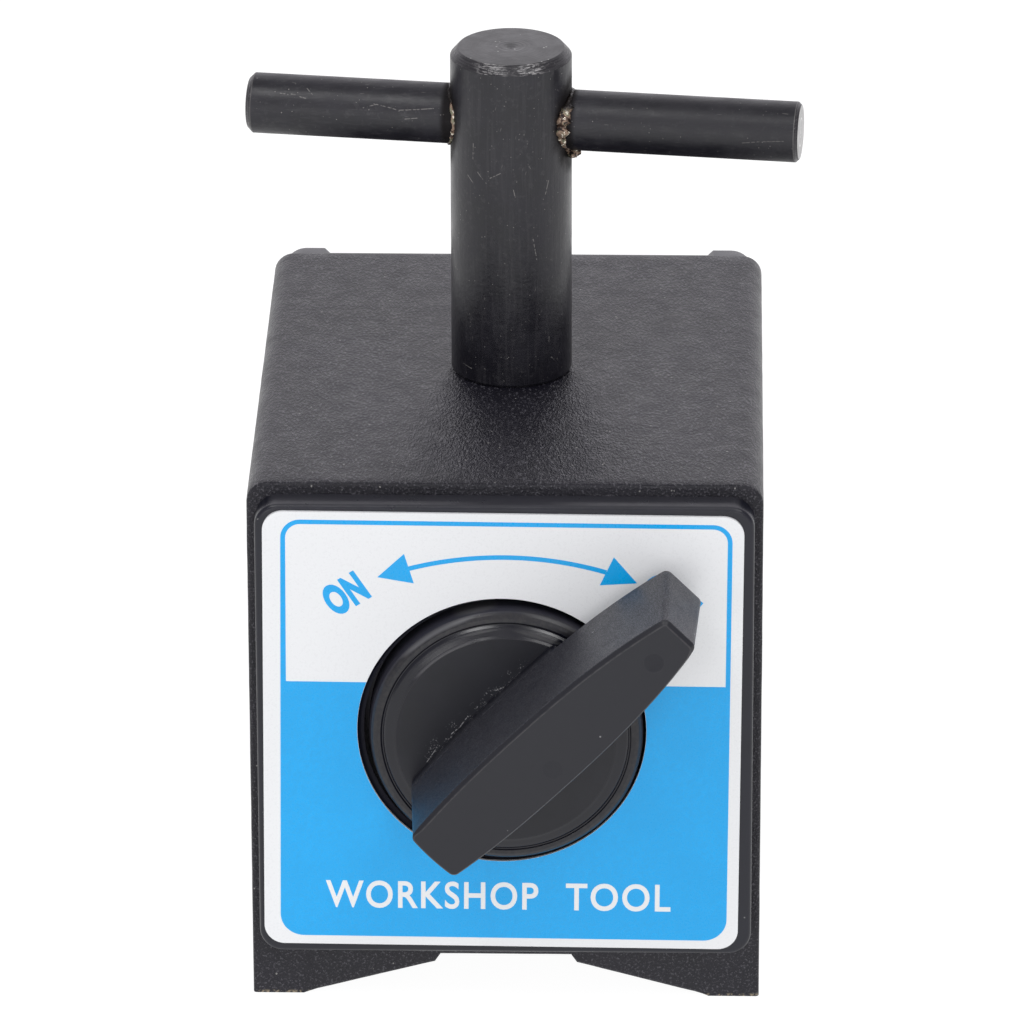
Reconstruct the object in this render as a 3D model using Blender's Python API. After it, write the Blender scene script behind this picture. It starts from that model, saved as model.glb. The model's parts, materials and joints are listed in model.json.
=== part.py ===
"""Switchable magnetic base with a T-handled post, as an assembly of separate pieces.

Units are metres and +Z is up. The switch knob faces -Y. Every piece is laid out from the
base's own centre: X and Y from the post's axis, Z from the ground pole faces. The empty
"assembly" then carries the whole tool so that the origin is the centre of its footprint.
"""
import bpy
import bmesh
from math import acos, cos, pi, radians, sin

# Clearance between neighbouring pieces, and round resolution
GAP = 0.0003
FINE_STEPS = 64
ROUND_STEPS = 40
SMALL_STEPS = 14

# Steel body: two pole blocks with a non-magnetic spacer between them
BLOCK_WIDTH = 0.0500
BLOCK_DEPTH = 0.0600
BLOCK_HEIGHT = 0.0550
BLOCK_EDGE_RADIUS = 0.0020
SPACER_WIDTH = 0.0130
FOOT_INNER_X = 0.0200
VEE_TOP_X = 0.0070
VEE_TOP_Z = 0.0035
SLOT_ROOF_Z = 0.0044
ROTOR_AXIS_Z = 0.0300
BORE_RADIUS = 0.0153

# Plastic covers on the front and rear faces
COVER_WIDTH = 0.0484
COVER_BOTTOM_Z = 0.0059
COVER_TOP_Z = 0.0539
COVER_CORNER_RADIUS = 0.0023
FRONT_COVER_THICKNESS = 0.0024
REAR_COVER_THICKNESS = 0.0027
REAR_COVER_TOP_Z = 0.0544
REAR_RELIEF_HALF_WIDTH = 0.0199
REAR_RELIEF_DEPTH = 0.0006
WELL_RADIUS = 0.01375

# Printed label on the front cover
LABEL_GAP = 0.0001
LABEL_THICKNESS = 0.0002
LABEL_WIDTH = 0.0466
LABEL_HEIGHT = 0.0464
LABEL_CENTRE_X = -0.00025
LABEL_CENTRE_Z = 0.0300
LABEL_CORNER_RADIUS = 0.0020
LABEL_HOLE_RADIUS = 0.0141
LABEL_HOLE_Z = 0.0302

# Countersunk cover screws
SCREW_X = 0.0198
SCREW_LOW_Z = 0.0106
SCREW_HIGH_Z = 0.0492
SCREW_RADIUS = 0.0015
SCREW_HEAD_RADIUS = 0.0025
SCREW_LENGTH = 0.0095
SCREW_HOLE_DEPTH = 0.0105

# Rotary magnet
CAP_RADIUS = 0.0150
CAP_THICKNESS = 0.0036
CAP_FACE_Y = 0.0288
SHOE_RADIUS = 0.0144
MAGNET_WIDTH = 0.0264
MAGNET_THICKNESS = 0.0090
TIE_ROD_OFFSET = 0.0090
TIE_ROD_RADIUS = 0.0013
TIE_HEAD_RADIUS = 0.0023
TIE_HEAD_DEPTH = 0.0016
DRIVE_SQUARE = 0.0080
DRIVE_LENGTH = 0.0030

# Stop pin, and the notch in the front cap that it runs in
KNOB_TRAVEL = radians(90)
STOP_PIN_RADIUS = 0.0012
STOP_PIN_TOP_Z = 0.0167
NOTCH_INNER_RADIUS = 0.0126
NOTCH_END_ALLOWANCE = radians(6.5)

# Switch knob: a disc in the cover's well, with a long grip that points at the setting
KNOB_REST_ANGLE = radians(45)
DISC_RADIUS = 0.0132
DISC_SIDE_Y = 0.0322
DISC_RIM_Y = 0.0342
DISC_FACE_Y = 0.0346
DISC_FACE_RADIUS = 0.0102
DISC_GROOVE_RADIUS = 0.0121
DISC_GROOVE_SIZE = 0.0002
GRIP_FRONT_Y = 0.0468
GRIP_OVERHANG_Y = 0.0361
GRIP_TAIL = -0.00985
GRIP_TIP = 0.0243
GRIP_WIDEST_AT = 0.0045
GRIP_HALF_WIDTH = 0.0037
GRIP_TIP_HALF_WIDTH = 0.0021
GRIP_TAPER_POWER = 2.5
GRIP_EDGE_RADIUS = 0.0004

# Knob fixing: a screw from behind, into a brass insert
KNOB_SCREW_RADIUS = 0.0015
KNOB_SCREW_HEAD_RADIUS = 0.0028
KNOB_SCREW_HEAD_DEPTH = 0.0017
KNOB_SCREW_TIP_Y = 0.0395
INSERT_RADIUS = 0.0025
INSERT_START_Y = 0.0328
INSERT_LENGTH = 0.0070

# T-handled post
POST_RADIUS = 0.0060
POST_TOP_Z = 0.0890
POST_TOP_CHAMFER = 0.0008
POST_FOOT_CHAMFER = 0.0010
STUD_RADIUS = 0.0039
STUD_LOW_Z = 0.0466
STUD_HIGH_Z = 0.0670
STUD_CHAMFER = 0.0008
BAR_RADIUS = 0.0030
BAR_LENGTH = 0.0550
BAR_OFFSET = 0.00129
BAR_Z = 0.08165
BAR_YAW = radians(-7.7)
BAR_CHAMFER = 0.0004
WASHER_RADIUS = 0.0055
WASHER_THICKNESS = 0.0012
WASHER_SEAT_DEPTH = 0.0016

# The footprint's centre, measured from the post's axis
FOOTPRINT_X = BAR_OFFSET * cos(BAR_YAW)
REAR_Y = BLOCK_DEPTH / 2 + GAP + REAR_COVER_THICKNESS
FOOTPRINT_Y = (REAR_Y - GRIP_FRONT_Y) / 2

COLOURS = {
    "coated_steel": ((0.100, 0.100, 0.108), 0.45, 0.2),
    "spacer_brass": ((0.62, 0.48, 0.24), 0.40, 1.0),
    "cover_plastic": ((0.030, 0.031, 0.034), 0.42, 0.0),
    "label_print": ((0.85, 0.86, 0.87), 0.38, 0.0),
    "screw_steel": ((0.45, 0.45, 0.46), 0.35, 1.0),
    "magnet": ((0.16, 0.15, 0.15), 0.55, 0.6),
    "soft_iron": ((0.38, 0.38, 0.39), 0.40, 1.0),
    "knob_plastic": ((0.028, 0.028, 0.031), 0.38, 0.0),
    "black_steel": ((0.055, 0.054, 0.056), 0.40, 0.8),
}


def clear_scene():
    for item in list(bpy.data.objects):
        bpy.data.objects.remove(item, do_unlink=True)


def make_material(name):
    colour, roughness, metallic = COLOURS[name]
    material = bpy.data.materials.new(name)
    material.use_nodes = True
    shader = material.node_tree.nodes["Principled BSDF"]
    shader.inputs["Base Color"].default_value = (*colour, 1.0)
    shader.inputs["Roughness"].default_value = roughness
    shader.inputs["Metallic"].default_value = metallic
    return material


def make_empty(name, parent, location):
    empty = bpy.data.objects.new(name, None)
    bpy.context.scene.collection.objects.link(empty)
    empty.parent = parent
    empty.location = location
    return empty


def make_object(name, shape, parent, material, location=(0, 0, 0)):
    """Turn a bmesh into a named object, with its faces pointing out and its curves smooth."""
    bmesh.ops.recalc_face_normals(shape, faces=shape.faces)
    mesh = bpy.data.meshes.new(name)
    shape.to_mesh(mesh)
    shape.free()
    mesh.shade_smooth()
    mesh.set_sharp_from_angle(angle=radians(35))
    piece = bpy.data.objects.new(name, mesh)
    bpy.context.scene.collection.objects.link(piece)
    piece.parent = parent
    piece.location = location
    if material:
        mesh.materials.append(material)
    return piece


def arc(centre, radius, start, end, steps):
    """Points of an arc from start to end, both included."""
    turn = (end - start) / steps
    angles = [start + turn * i for i in range(steps + 1)]
    return [(centre[0] + radius * cos(a), centre[1] + radius * sin(a)) for a in angles]


def rounded_rectangle(low_x, high_x, low_z, high_z, radius, steps=6):
    corners = [
        ((high_x - radius, low_z + radius), -pi / 2),
        ((high_x - radius, high_z - radius), 0),
        ((low_x + radius, high_z - radius), pi / 2),
        ((low_x + radius, low_z + radius), pi),
    ]
    outline = []
    for centre, start in corners:
        outline += arc(centre, radius, start, start + pi / 2, steps)
    return outline


def prism(outline, start_y, end_y):
    """A closed solid from an (x, z) outline, extruded along Y."""
    shape = bmesh.new()
    near = [shape.verts.new((x, start_y, z)) for x, z in outline]
    far = [shape.verts.new((x, end_y, z)) for x, z in outline]
    shape.faces.new(near)
    shape.faces.new(list(reversed(far)))
    count = len(outline)
    for i in range(count):
        j = (i + 1) % count
        shape.faces.new((near[i], far[i], far[j], near[j]))
    return shape


def turned(profile, steps, along="Z", centre=(0, 0)):
    """A solid of revolution from (radius, distance) points along an axis.

    A profile that starts and ends on the axis is a plain solid; any other is a ring.
    """
    shape = bmesh.new()
    rings = []
    for radius, distance in profile:
        count = 1 if radius == 0 else steps
        ring = []
        for i in range(count):
            a = 2 * pi * i / steps
            across = (centre[0] + radius * cos(a), centre[1] + radius * sin(a))
            if along == "Z":
                ring.append(shape.verts.new((across[0], across[1], distance)))
            else:
                ring.append(shape.verts.new((across[0], distance, across[1])))
        rings.append(ring)
    pairs = list(zip(rings, rings[1:]))
    if profile[0][0] > 0:
        pairs.append((rings[-1], rings[0]))
    for ring, following in pairs:
        for i in range(steps):
            j = (i + 1) % steps
            corners = [ring[i % len(ring)], ring[j % len(ring)]]
            corners += [following[j % len(following)], following[i % len(following)]]
            shape.faces.new(list(dict.fromkeys(corners)))
    return shape


def box(low, high):
    shape = bmesh.new()
    bmesh.ops.create_cube(shape, size=1.0)
    for vert in shape.verts:
        for k in range(3):
            vert.co[k] = low[k] if vert.co[k] < 0 else high[k]
    return shape


def combine(piece, shape, operation="DIFFERENCE"):
    """Cut a shape out of a piece, or join it on, in the piece's own frame."""
    tool = make_object(piece.name + "_tool", shape, piece.parent, None, piece.location)
    tool.rotation_euler = piece.rotation_euler
    tool.hide_render = True
    tool.display_type = "WIRE"
    modifier = piece.modifiers.new("combine", "BOOLEAN")
    modifier.operation = operation
    modifier.solver = "EXACT"
    modifier.object = tool
    return tool


def round_edges(piece, width, segments=2, angle=radians(50)):
    modifier = piece.modifiers.new("round_edges", "BEVEL")
    modifier.width = width
    modifier.segments = segments
    modifier.limit_method = "ANGLE"
    modifier.angle_limit = angle


def screw_places():
    return [(x, z) for z in (SCREW_LOW_Z, SCREW_HIGH_Z) for x in (-SCREW_X, SCREW_X)]


def bore_point_angle(x):
    """Angle, from +X, at which the rotor bore meets a wall at x."""
    return acos(x / BORE_RADIUS)


def pole_block(name, side, base, material):
    """Half of the steel body: a flank, a half bore and one foot beside the vee."""
    inner_x = SPACER_WIDTH / 2 + GAP / 2
    outer_x = BLOCK_WIDTH / 2
    reach = bore_point_angle(inner_x)
    round_centre = (outer_x - BLOCK_EDGE_RADIUS, BLOCK_HEIGHT - BLOCK_EDGE_RADIUS)
    outline = [(FOOT_INNER_X, 0), (outer_x, 0)]
    outline += arc(round_centre, BLOCK_EDGE_RADIUS, 0, pi / 2, 6)
    outline.append((inner_x, BLOCK_HEIGHT))
    outline += arc((0, ROTOR_AXIS_Z), BORE_RADIUS, reach, -reach, FINE_STEPS // 2)
    outline += [(inner_x, SLOT_ROOF_Z), (VEE_TOP_X, VEE_TOP_Z)]
    outline = [(side * x, z) for x, z in outline]
    block = make_object(name, prism(outline, -BLOCK_DEPTH / 2, BLOCK_DEPTH / 2), base, material)
    for x, z in screw_places():
        if x * side > 0:
            for face in (-1, 1):
                mouth = face * (BLOCK_DEPTH / 2 + GAP)
                bottom = face * (BLOCK_DEPTH / 2 - SCREW_HOLE_DEPTH)
                combine(block, rod(SCREW_RADIUS + GAP, mouth, bottom, (x, z)))
    return block


def rod(radius, start_y, end_y, centre=(0, 0), steps=SMALL_STEPS):
    """A plain round bar along Y, centred on (x, z)."""
    profile = [(0, start_y), (radius, start_y), (radius, end_y), (0, end_y)]
    return turned(profile, steps, "Y", centre)


def top_spacer(base, material):
    """Non-magnetic bridge over the bore, with the post's threaded hole."""
    side_x = SPACER_WIDTH / 2 - GAP / 2
    reach = bore_point_angle(side_x)
    outline = arc((0, ROTOR_AXIS_Z), BORE_RADIUS, pi - reach, reach, FINE_STEPS // 4)
    outline += [(side_x, BLOCK_HEIGHT), (-side_x, BLOCK_HEIGHT)]
    shape = prism(outline, -BLOCK_DEPTH / 2, BLOCK_DEPTH / 2)
    spacer = make_object("top_spacer", shape, base, material)
    above = BLOCK_HEIGHT + GAP
    seat_z = BLOCK_HEIGHT - WASHER_SEAT_DEPTH
    hole_z = STUD_LOW_Z - GAP
    profile = [(0, above), (WASHER_RADIUS + GAP, above), (WASHER_RADIUS + GAP, seat_z)]
    profile += [(STUD_RADIUS + GAP, seat_z), (STUD_RADIUS + GAP, hole_z), (0, hole_z)]
    combine(spacer, turned(profile, ROUND_STEPS))
    return spacer


def bottom_spacer(base, material):
    """Non-magnetic strip under the bore: its underside is the roof of the slot."""
    side_x = SPACER_WIDTH / 2 - GAP / 2
    reach = bore_point_angle(side_x)
    outline = [(-side_x, SLOT_ROOF_Z), (side_x, SLOT_ROOF_Z)]
    outline += arc((0, ROTOR_AXIS_Z), BORE_RADIUS, -reach, reach - pi, FINE_STEPS // 4)
    shape = prism(outline, -BLOCK_DEPTH / 2, BLOCK_DEPTH / 2)
    spacer = make_object("bottom_spacer", shape, base, material)
    hole = [(0, 0), (STOP_PIN_RADIUS + GAP, 0)]
    hole += [(STOP_PIN_RADIUS + GAP, ROTOR_AXIS_Z), (0, ROTOR_AXIS_Z)]
    cutter = combine(spacer, turned(hole, SMALL_STEPS))
    cutter.location.y = stop_pin_y()
    return spacer


def stop_pin_y():
    return CAP_THICKNESS / 2 - CAP_FACE_Y


def stop_pin(base, material):
    """Pin up through the bottom spacer, into the front cap's notch."""
    low = SLOT_ROOF_Z + GAP
    profile = [(0, low), (STOP_PIN_RADIUS, low)]
    profile += [(STOP_PIN_RADIUS, STOP_PIN_TOP_Z), (0, STOP_PIN_TOP_Z)]
    shape = turned(profile, SMALL_STEPS)
    return make_object("stop_pin", shape, base, material, (0, stop_pin_y(), 0))


def countersunk_hole(place, side, outer_y, inner_y):
    """Cutter for one screw: a clearance hole with a 45 degree countersink."""
    radius = SCREW_RADIUS + GAP
    mouth_radius = SCREW_HEAD_RADIUS + 2 * GAP
    cone = mouth_radius - radius
    profile = [(0, side * (outer_y + GAP)), (mouth_radius, side * (outer_y + GAP))]
    profile += [(mouth_radius, side * outer_y), (radius, side * (outer_y - cone))]
    profile += [(radius, side * (inner_y - GAP)), (0, side * (inner_y - GAP))]
    return turned(profile, SMALL_STEPS, "Y", place)


def countersunk_screw(name, place, side, cover_y, base, material):
    """One cover screw. Its head lies just below the cover's outer face."""
    head_y = cover_y - GAP
    cone = SCREW_HEAD_RADIUS - SCREW_RADIUS
    tip_y = head_y - SCREW_LENGTH
    profile = [(0, side * head_y), (SCREW_HEAD_RADIUS, side * head_y)]
    profile += [(SCREW_RADIUS, side * (head_y - cone)), (SCREW_RADIUS, side * tip_y)]
    profile.append((0, side * tip_y))
    shape = turned(profile, SMALL_STEPS, "Y")
    return make_object(name, shape, base, material, (place[0], 0, place[1]))


def cover_screws(prefix, side, cover_y, base, material):
    for number, place in enumerate(screw_places(), 1):
        countersunk_screw(f"{prefix}_{number}", place, side, cover_y, base, material)


def front_cover(base, material):
    inner_y = BLOCK_DEPTH / 2 + GAP
    outer_y = inner_y + FRONT_COVER_THICKNESS
    half = COVER_WIDTH / 2
    outline = rounded_rectangle(-half, half, COVER_BOTTOM_Z, COVER_TOP_Z, COVER_CORNER_RADIUS)
    cover = make_object("front_cover", prism(outline, -outer_y, -inner_y), base, material)
    well = rod(WELL_RADIUS, -outer_y - GAP, -inner_y + GAP, (0, ROTOR_AXIS_Z), FINE_STEPS)
    combine(cover, well)
    for place in screw_places():
        combine(cover, countersunk_hole(place, -1, outer_y, inner_y))
    return outer_y


def label_plate(cover_y, base, material):
    """Thin printed plate, stuck on the front cover round the knob's well."""
    low_x = LABEL_CENTRE_X - LABEL_WIDTH / 2
    low_z = LABEL_CENTRE_Z - LABEL_HEIGHT / 2
    outline = rounded_rectangle(
        low_x, low_x + LABEL_WIDTH, low_z, low_z + LABEL_HEIGHT, LABEL_CORNER_RADIUS
    )
    back_y = cover_y + LABEL_GAP
    front_y = back_y + LABEL_THICKNESS
    label = make_object("label_plate", prism(outline, -front_y, -back_y), base, material)
    hole = rod(LABEL_HOLE_RADIUS, -front_y - GAP, -cover_y, (LABEL_CENTRE_X, LABEL_HOLE_Z), FINE_STEPS)
    combine(label, hole)
    return label


def rear_cover(base, material):
    """Closing plate with a shallow relief in its top edge, between two corner lugs."""
    inner_y = BLOCK_DEPTH / 2 + GAP
    half = COVER_WIDTH / 2
    top = REAR_COVER_TOP_Z
    outline = rounded_rectangle(-half, half, COVER_BOTTOM_Z, top, COVER_CORNER_RADIUS)
    cover = make_object("rear_cover", prism(outline, inner_y, REAR_Y), base, material)
    low = (-REAR_RELIEF_HALF_WIDTH, inner_y - GAP, top - REAR_RELIEF_DEPTH)
    high = (REAR_RELIEF_HALF_WIDTH, REAR_Y + GAP, top + GAP)
    combine(cover, box(low, high))
    for place in screw_places():
        combine(cover, countersunk_hole(place, 1, REAR_Y, inner_y))
    return cover


def rotor_magnet(rotor, material):
    length = CAP_FACE_Y - CAP_THICKNESS - GAP
    corner = (MAGNET_WIDTH / 2, length, MAGNET_THICKNESS / 2)
    shape = box([-c for c in corner], corner)
    return make_object("rotor_magnet", shape, rotor, material)


def rotor_shoe(name, side, rotor, material):
    """Soft-iron segment that lies against one face of the magnet."""
    length = CAP_FACE_Y - CAP_THICKNESS - GAP
    chord = MAGNET_THICKNESS / 2 + GAP
    start = pi / 2 - acos(chord / SHOE_RADIUS)
    outline = arc((0, 0), SHOE_RADIUS, start, pi - start, FINE_STEPS // 2)
    outline = [(x, side * z) for x, z in outline]
    shoe = make_object(name, prism(outline, -length, length), rotor, material)
    centre = (0, side * TIE_ROD_OFFSET)
    hole = rod(TIE_ROD_RADIUS + GAP, -length - GAP, length + GAP, centre)
    combine(shoe, hole)
    return shoe


def notch_outline():
    """Sector of the front cap that the stop pin sweeps as the knob turns."""
    first = -pi / 2 - KNOB_TRAVEL - NOTCH_END_ALLOWANCE
    last = -pi / 2 + NOTCH_END_ALLOWANCE
    steps = 12
    inner = arc((0, 0), NOTCH_INNER_RADIUS, last, first, steps)
    return arc((0, 0), BORE_RADIUS + GAP, first, last, steps) + inner


def rotor_cap(name, side, rotor, material):
    """Round end disc that runs in the bore and carries the two tie rods."""
    inner_y = CAP_FACE_Y - CAP_THICKNESS
    disc = rod(CAP_RADIUS, side * inner_y, side * CAP_FACE_Y, steps=FINE_STEPS)
    cap = make_object(name, disc, rotor, material)
    for up in (-1, 1):
        centre = (0, up * TIE_ROD_OFFSET)
        beyond = side * (CAP_FACE_Y + GAP)
        combine(cap, rod(TIE_ROD_RADIUS + GAP, side * (inner_y - GAP), beyond, centre))
        seat_y = side * (CAP_FACE_Y - TIE_HEAD_DEPTH - 2 * GAP)
        if side < 0:
            combine(cap, rod(TIE_HEAD_RADIUS + GAP, seat_y, beyond, centre))
    return cap


def rotor_front_cap(rotor, material):
    """The front disc also has the knob's square drive and the stop notch."""
    cap = rotor_cap("rotor_front_cap", -1, rotor, material)
    half = DRIVE_SQUARE / 2
    drive_front = -CAP_FACE_Y - DRIVE_LENGTH
    drive = box((-half, drive_front, -half), (half, -CAP_FACE_Y + 2 * GAP, half))
    combine(cap, drive, "UNION")
    combine(cap, prism(notch_outline(), -CAP_FACE_Y - GAP, CAP_THICKNESS - CAP_FACE_Y + GAP))
    rear_y = CAP_THICKNESS - CAP_FACE_Y + GAP
    recess_y = CAP_THICKNESS - CAP_FACE_Y - KNOB_SCREW_HEAD_DEPTH - GAP
    combine(cap, rod(KNOB_SCREW_HEAD_RADIUS + GAP, recess_y, rear_y))
    combine(cap, rod(KNOB_SCREW_RADIUS + GAP, drive_front - GAP, recess_y + GAP))
    return cap


def tie_rod(name, side, rotor, material):
    """Long screw that clamps the two caps onto the magnet and its shoes."""
    head_y = -CAP_FACE_Y + GAP
    shoulder_y = head_y + TIE_HEAD_DEPTH
    profile = [(0, head_y), (TIE_HEAD_RADIUS, head_y), (TIE_HEAD_RADIUS, shoulder_y)]
    profile += [(TIE_ROD_RADIUS, shoulder_y), (TIE_ROD_RADIUS, CAP_FACE_Y), (0, CAP_FACE_Y)]
    shape = turned(profile, SMALL_STEPS, "Y")
    return make_object(name, shape, rotor, material, (0, 0, side * TIE_ROD_OFFSET))


def grip_half_width(s):
    """Half width of the grip at distance s from the axis, towards the tip."""
    fall = (GRIP_HALF_WIDTH - GRIP_TIP_HALF_WIDTH) / (GRIP_TIP - GRIP_WIDEST_AT) ** GRIP_TAPER_POWER
    return GRIP_HALF_WIDTH - fall * abs(s - GRIP_WIDEST_AT) ** GRIP_TAPER_POWER


def grip_outline(tail, tip, steps=14):
    places = [tail + (tip - tail) * i / steps for i in range(steps + 1)]
    lower = [(s, -grip_half_width(s)) for s in places]
    return lower + [(s, -w) for s, w in reversed(lower)]


def knob_disc():
    """The knob's round foot: a rounded rim, a fine groove, a shoulder and a flat face."""
    back = -CAP_FACE_Y - GAP
    profile = [(0, back), (DISC_RADIUS, back)]
    crest = DISC_GROOVE_RADIUS + DISC_GROOVE_SIZE
    steps = 4
    for k in range(steps + 1):
        a = pi / 2 * k / steps
        radius = crest + (DISC_RADIUS - crest) * cos(a)
        profile.append((radius, -DISC_SIDE_Y - (DISC_RIM_Y - DISC_SIDE_Y) * sin(a)))
    profile.append((DISC_GROOVE_RADIUS, -DISC_RIM_Y + DISC_GROOVE_SIZE))
    profile.append((DISC_GROOVE_RADIUS - DISC_GROOVE_SIZE, -DISC_RIM_Y))
    profile += [(DISC_FACE_RADIUS, -DISC_FACE_Y), (0, -DISC_FACE_Y)]
    return turned(profile, FINE_STEPS, "Y")


def knob(rotor, material):
    """Grip and disc in one moulding, with a square socket and an insert bore behind."""
    grip = prism(grip_outline(GRIP_TAIL, GRIP_TIP), -GRIP_FRONT_Y, -GRIP_OVERHANG_Y)
    piece = make_object("knob", grip, rotor, material)
    piece.rotation_euler.y = -KNOB_REST_ANGLE
    round_edges(piece, GRIP_EDGE_RADIUS)
    root_outline = grip_outline(GRIP_TAIL, DISC_FACE_RADIUS, 8)
    root = prism(root_outline, -GRIP_OVERHANG_Y - GAP, -DISC_FACE_Y + GAP)
    combine(piece, root, "UNION")
    combine(piece, knob_disc(), "UNION")
    half = DRIVE_SQUARE / 2 + GAP
    socket_y = -CAP_FACE_Y - DRIVE_LENGTH - GAP
    socket = combine(piece, box((-half, socket_y, -half), (half, -CAP_FACE_Y + GAP, half)))
    socket.rotation_euler.y = 0
    bore_end = -INSERT_START_Y - INSERT_LENGTH - GAP
    combine(piece, rod(INSERT_RADIUS + GAP, bore_end, socket_y + GAP))
    return piece


def knob_insert(rotor, material):
    """Threaded brass bush moulded into the knob."""
    inner = KNOB_SCREW_RADIUS + GAP
    start, end = -INSERT_START_Y, -INSERT_START_Y - INSERT_LENGTH
    profile = [(inner, start), (INSERT_RADIUS, start), (INSERT_RADIUS, end), (inner, end)]
    return make_object("knob_insert", turned(profile, SMALL_STEPS, "Y"), rotor, material)


def knob_screw(rotor, material):
    """Axial screw, put in from behind the front cap before the rotor is built up."""
    head_y = CAP_THICKNESS - CAP_FACE_Y
    shoulder_y = head_y - KNOB_SCREW_HEAD_DEPTH
    profile = [(0, head_y), (KNOB_SCREW_HEAD_RADIUS, head_y)]
    profile += [(KNOB_SCREW_HEAD_RADIUS, shoulder_y), (KNOB_SCREW_RADIUS, shoulder_y)]
    profile += [(KNOB_SCREW_RADIUS, -KNOB_SCREW_TIP_Y), (0, -KNOB_SCREW_TIP_Y)]
    return make_object("knob_screw", turned(profile, SMALL_STEPS, "Y"), rotor, material)


def post(handle, material):
    """Upright with chamfered ends, a cross hole for the bar and a tapped foot."""
    low = BLOCK_HEIGHT + GAP
    profile = [(0, low), (POST_RADIUS - POST_FOOT_CHAMFER, low)]
    profile += [(POST_RADIUS, low + POST_FOOT_CHAMFER), (POST_RADIUS, POST_TOP_Z - POST_TOP_CHAMFER)]
    profile += [(POST_RADIUS - POST_TOP_CHAMFER, POST_TOP_Z), (0, POST_TOP_Z)]
    piece = make_object("post", turned(profile, ROUND_STEPS), handle, material)
    radius = STUD_RADIUS + GAP
    hole = [(0, low - GAP), (radius, low - GAP), (radius, STUD_HIGH_Z + GAP), (0, STUD_HIGH_Z + GAP)]
    combine(piece, turned(hole, ROUND_STEPS))
    cutter = combine(piece, bar_shape(BAR_RADIUS + GAP, 3 * POST_RADIUS, 0))
    cutter.location.z = BAR_Z
    cutter.rotation_euler.z = BAR_YAW - pi / 2
    return piece


def bar_shape(radius, length, chamfer):
    """A round bar along Y, centred on the origin, with chamfered ends."""
    end = length / 2
    profile = [(0, -end), (radius - chamfer, -end), (radius, chamfer - end)]
    profile += [(radius, end - chamfer), (radius - chamfer, end), (0, end)]
    if chamfer == 0:
        profile = [(0, -end), (radius, -end), (radius, end), (0, end)]
    return turned(profile, ROUND_STEPS, "Y")


def cross_bar(handle, material):
    """Grip bar through the post, set a little off centre and a little askew."""
    shape = bar_shape(BAR_RADIUS, BAR_LENGTH, BAR_CHAMFER)
    place = (BAR_OFFSET * cos(BAR_YAW), BAR_OFFSET * sin(BAR_YAW), BAR_Z)
    piece = make_object("cross_bar", shape, handle, material, place)
    piece.rotation_euler.z = BAR_YAW - pi / 2
    return piece


def threaded_stud(handle, material):
    """Stud fixed in the post's foot, which screws into the top spacer."""
    profile = [(0, STUD_LOW_Z), (STUD_RADIUS - STUD_CHAMFER, STUD_LOW_Z)]
    profile += [(STUD_RADIUS, STUD_LOW_Z + STUD_CHAMFER), (STUD_RADIUS, STUD_HIGH_Z - STUD_CHAMFER)]
    profile += [(STUD_RADIUS - STUD_CHAMFER, STUD_HIGH_Z), (0, STUD_HIGH_Z)]
    return make_object("threaded_stud", turned(profile, ROUND_STEPS), handle, material)


def post_lock_washer(handle, material):
    """Spring washer in the seat under the post's foot: it rises with the post but can't turn."""
    inner = STUD_RADIUS + GAP
    low = BLOCK_HEIGHT - WASHER_SEAT_DEPTH + GAP
    high = low + WASHER_THICKNESS
    profile = [(inner, low), (WASHER_RADIUS, low), (WASHER_RADIUS, high), (inner, high)]
    return make_object("post_lock_washer", turned(profile, ROUND_STEPS), handle, material)


def build_base(base, materials):
    pole_block("left_pole_block", -1, base, materials["coated_steel"])
    pole_block("right_pole_block", 1, base, materials["coated_steel"])
    top_spacer(base, materials["spacer_brass"])
    bottom_spacer(base, materials["spacer_brass"])
    stop_pin(base, materials["screw_steel"])
    cover_y = front_cover(base, materials["cover_plastic"])
    label_plate(cover_y, base, materials["label_print"])
    rear_cover(base, materials["cover_plastic"])
    cover_screws("front_cover_screw", -1, cover_y, base, materials["screw_steel"])
    cover_screws("rear_cover_screw", 1, REAR_Y, base, materials["screw_steel"])


def build_rotor(rotor, materials):
    rotor_magnet(rotor, materials["magnet"])
    rotor_shoe("rotor_shoe_upper", 1, rotor, materials["soft_iron"])
    rotor_shoe("rotor_shoe_lower", -1, rotor, materials["soft_iron"])
    rotor_front_cap(rotor, materials["cover_plastic"])
    rotor_cap("rotor_rear_cap", 1, rotor, materials["cover_plastic"])
    tie_rod("rotor_tie_rod_upper", 1, rotor, materials["screw_steel"])
    tie_rod("rotor_tie_rod_lower", -1, rotor, materials["screw_steel"])
    knob(rotor, materials["knob_plastic"])
    knob_insert(rotor, materials["spacer_brass"])
    knob_screw(rotor, materials["screw_steel"])


def build_handle(handle, materials):
    post(handle, materials["black_steel"])
    cross_bar(handle, materials["black_steel"])
    threaded_stud(handle, materials["screw_steel"])
    post_lock_washer(handle, materials["screw_steel"])


clear_scene()
all_materials = {name: make_material(name) for name in COLOURS}
assembly = make_empty("assembly", None, (-FOOTPRINT_X, -FOOTPRINT_Y, 0))
build_base(assembly, all_materials)
build_rotor(make_empty("rotor_axis", assembly, (0, 0, ROTOR_AXIS_Z)), all_materials)
build_handle(make_empty("post_axis", assembly, (0, 0, 0)), all_materials)
bpy.context.view_layer.update()
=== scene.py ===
"""The looks of a switchable magnetic base with a T-handled post.

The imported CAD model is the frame: every size and place below is read from its nodes' boxes or
worked out from them. Lengths are metres, +Z is up and the switch knob faces -Y.
"""
import json
from functools import reduce
from math import acos, asin, cos, exp, pi, radians, sin, sqrt, tan

import bmesh
import bpy
from mathutils import Matrix, Vector, noise


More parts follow.
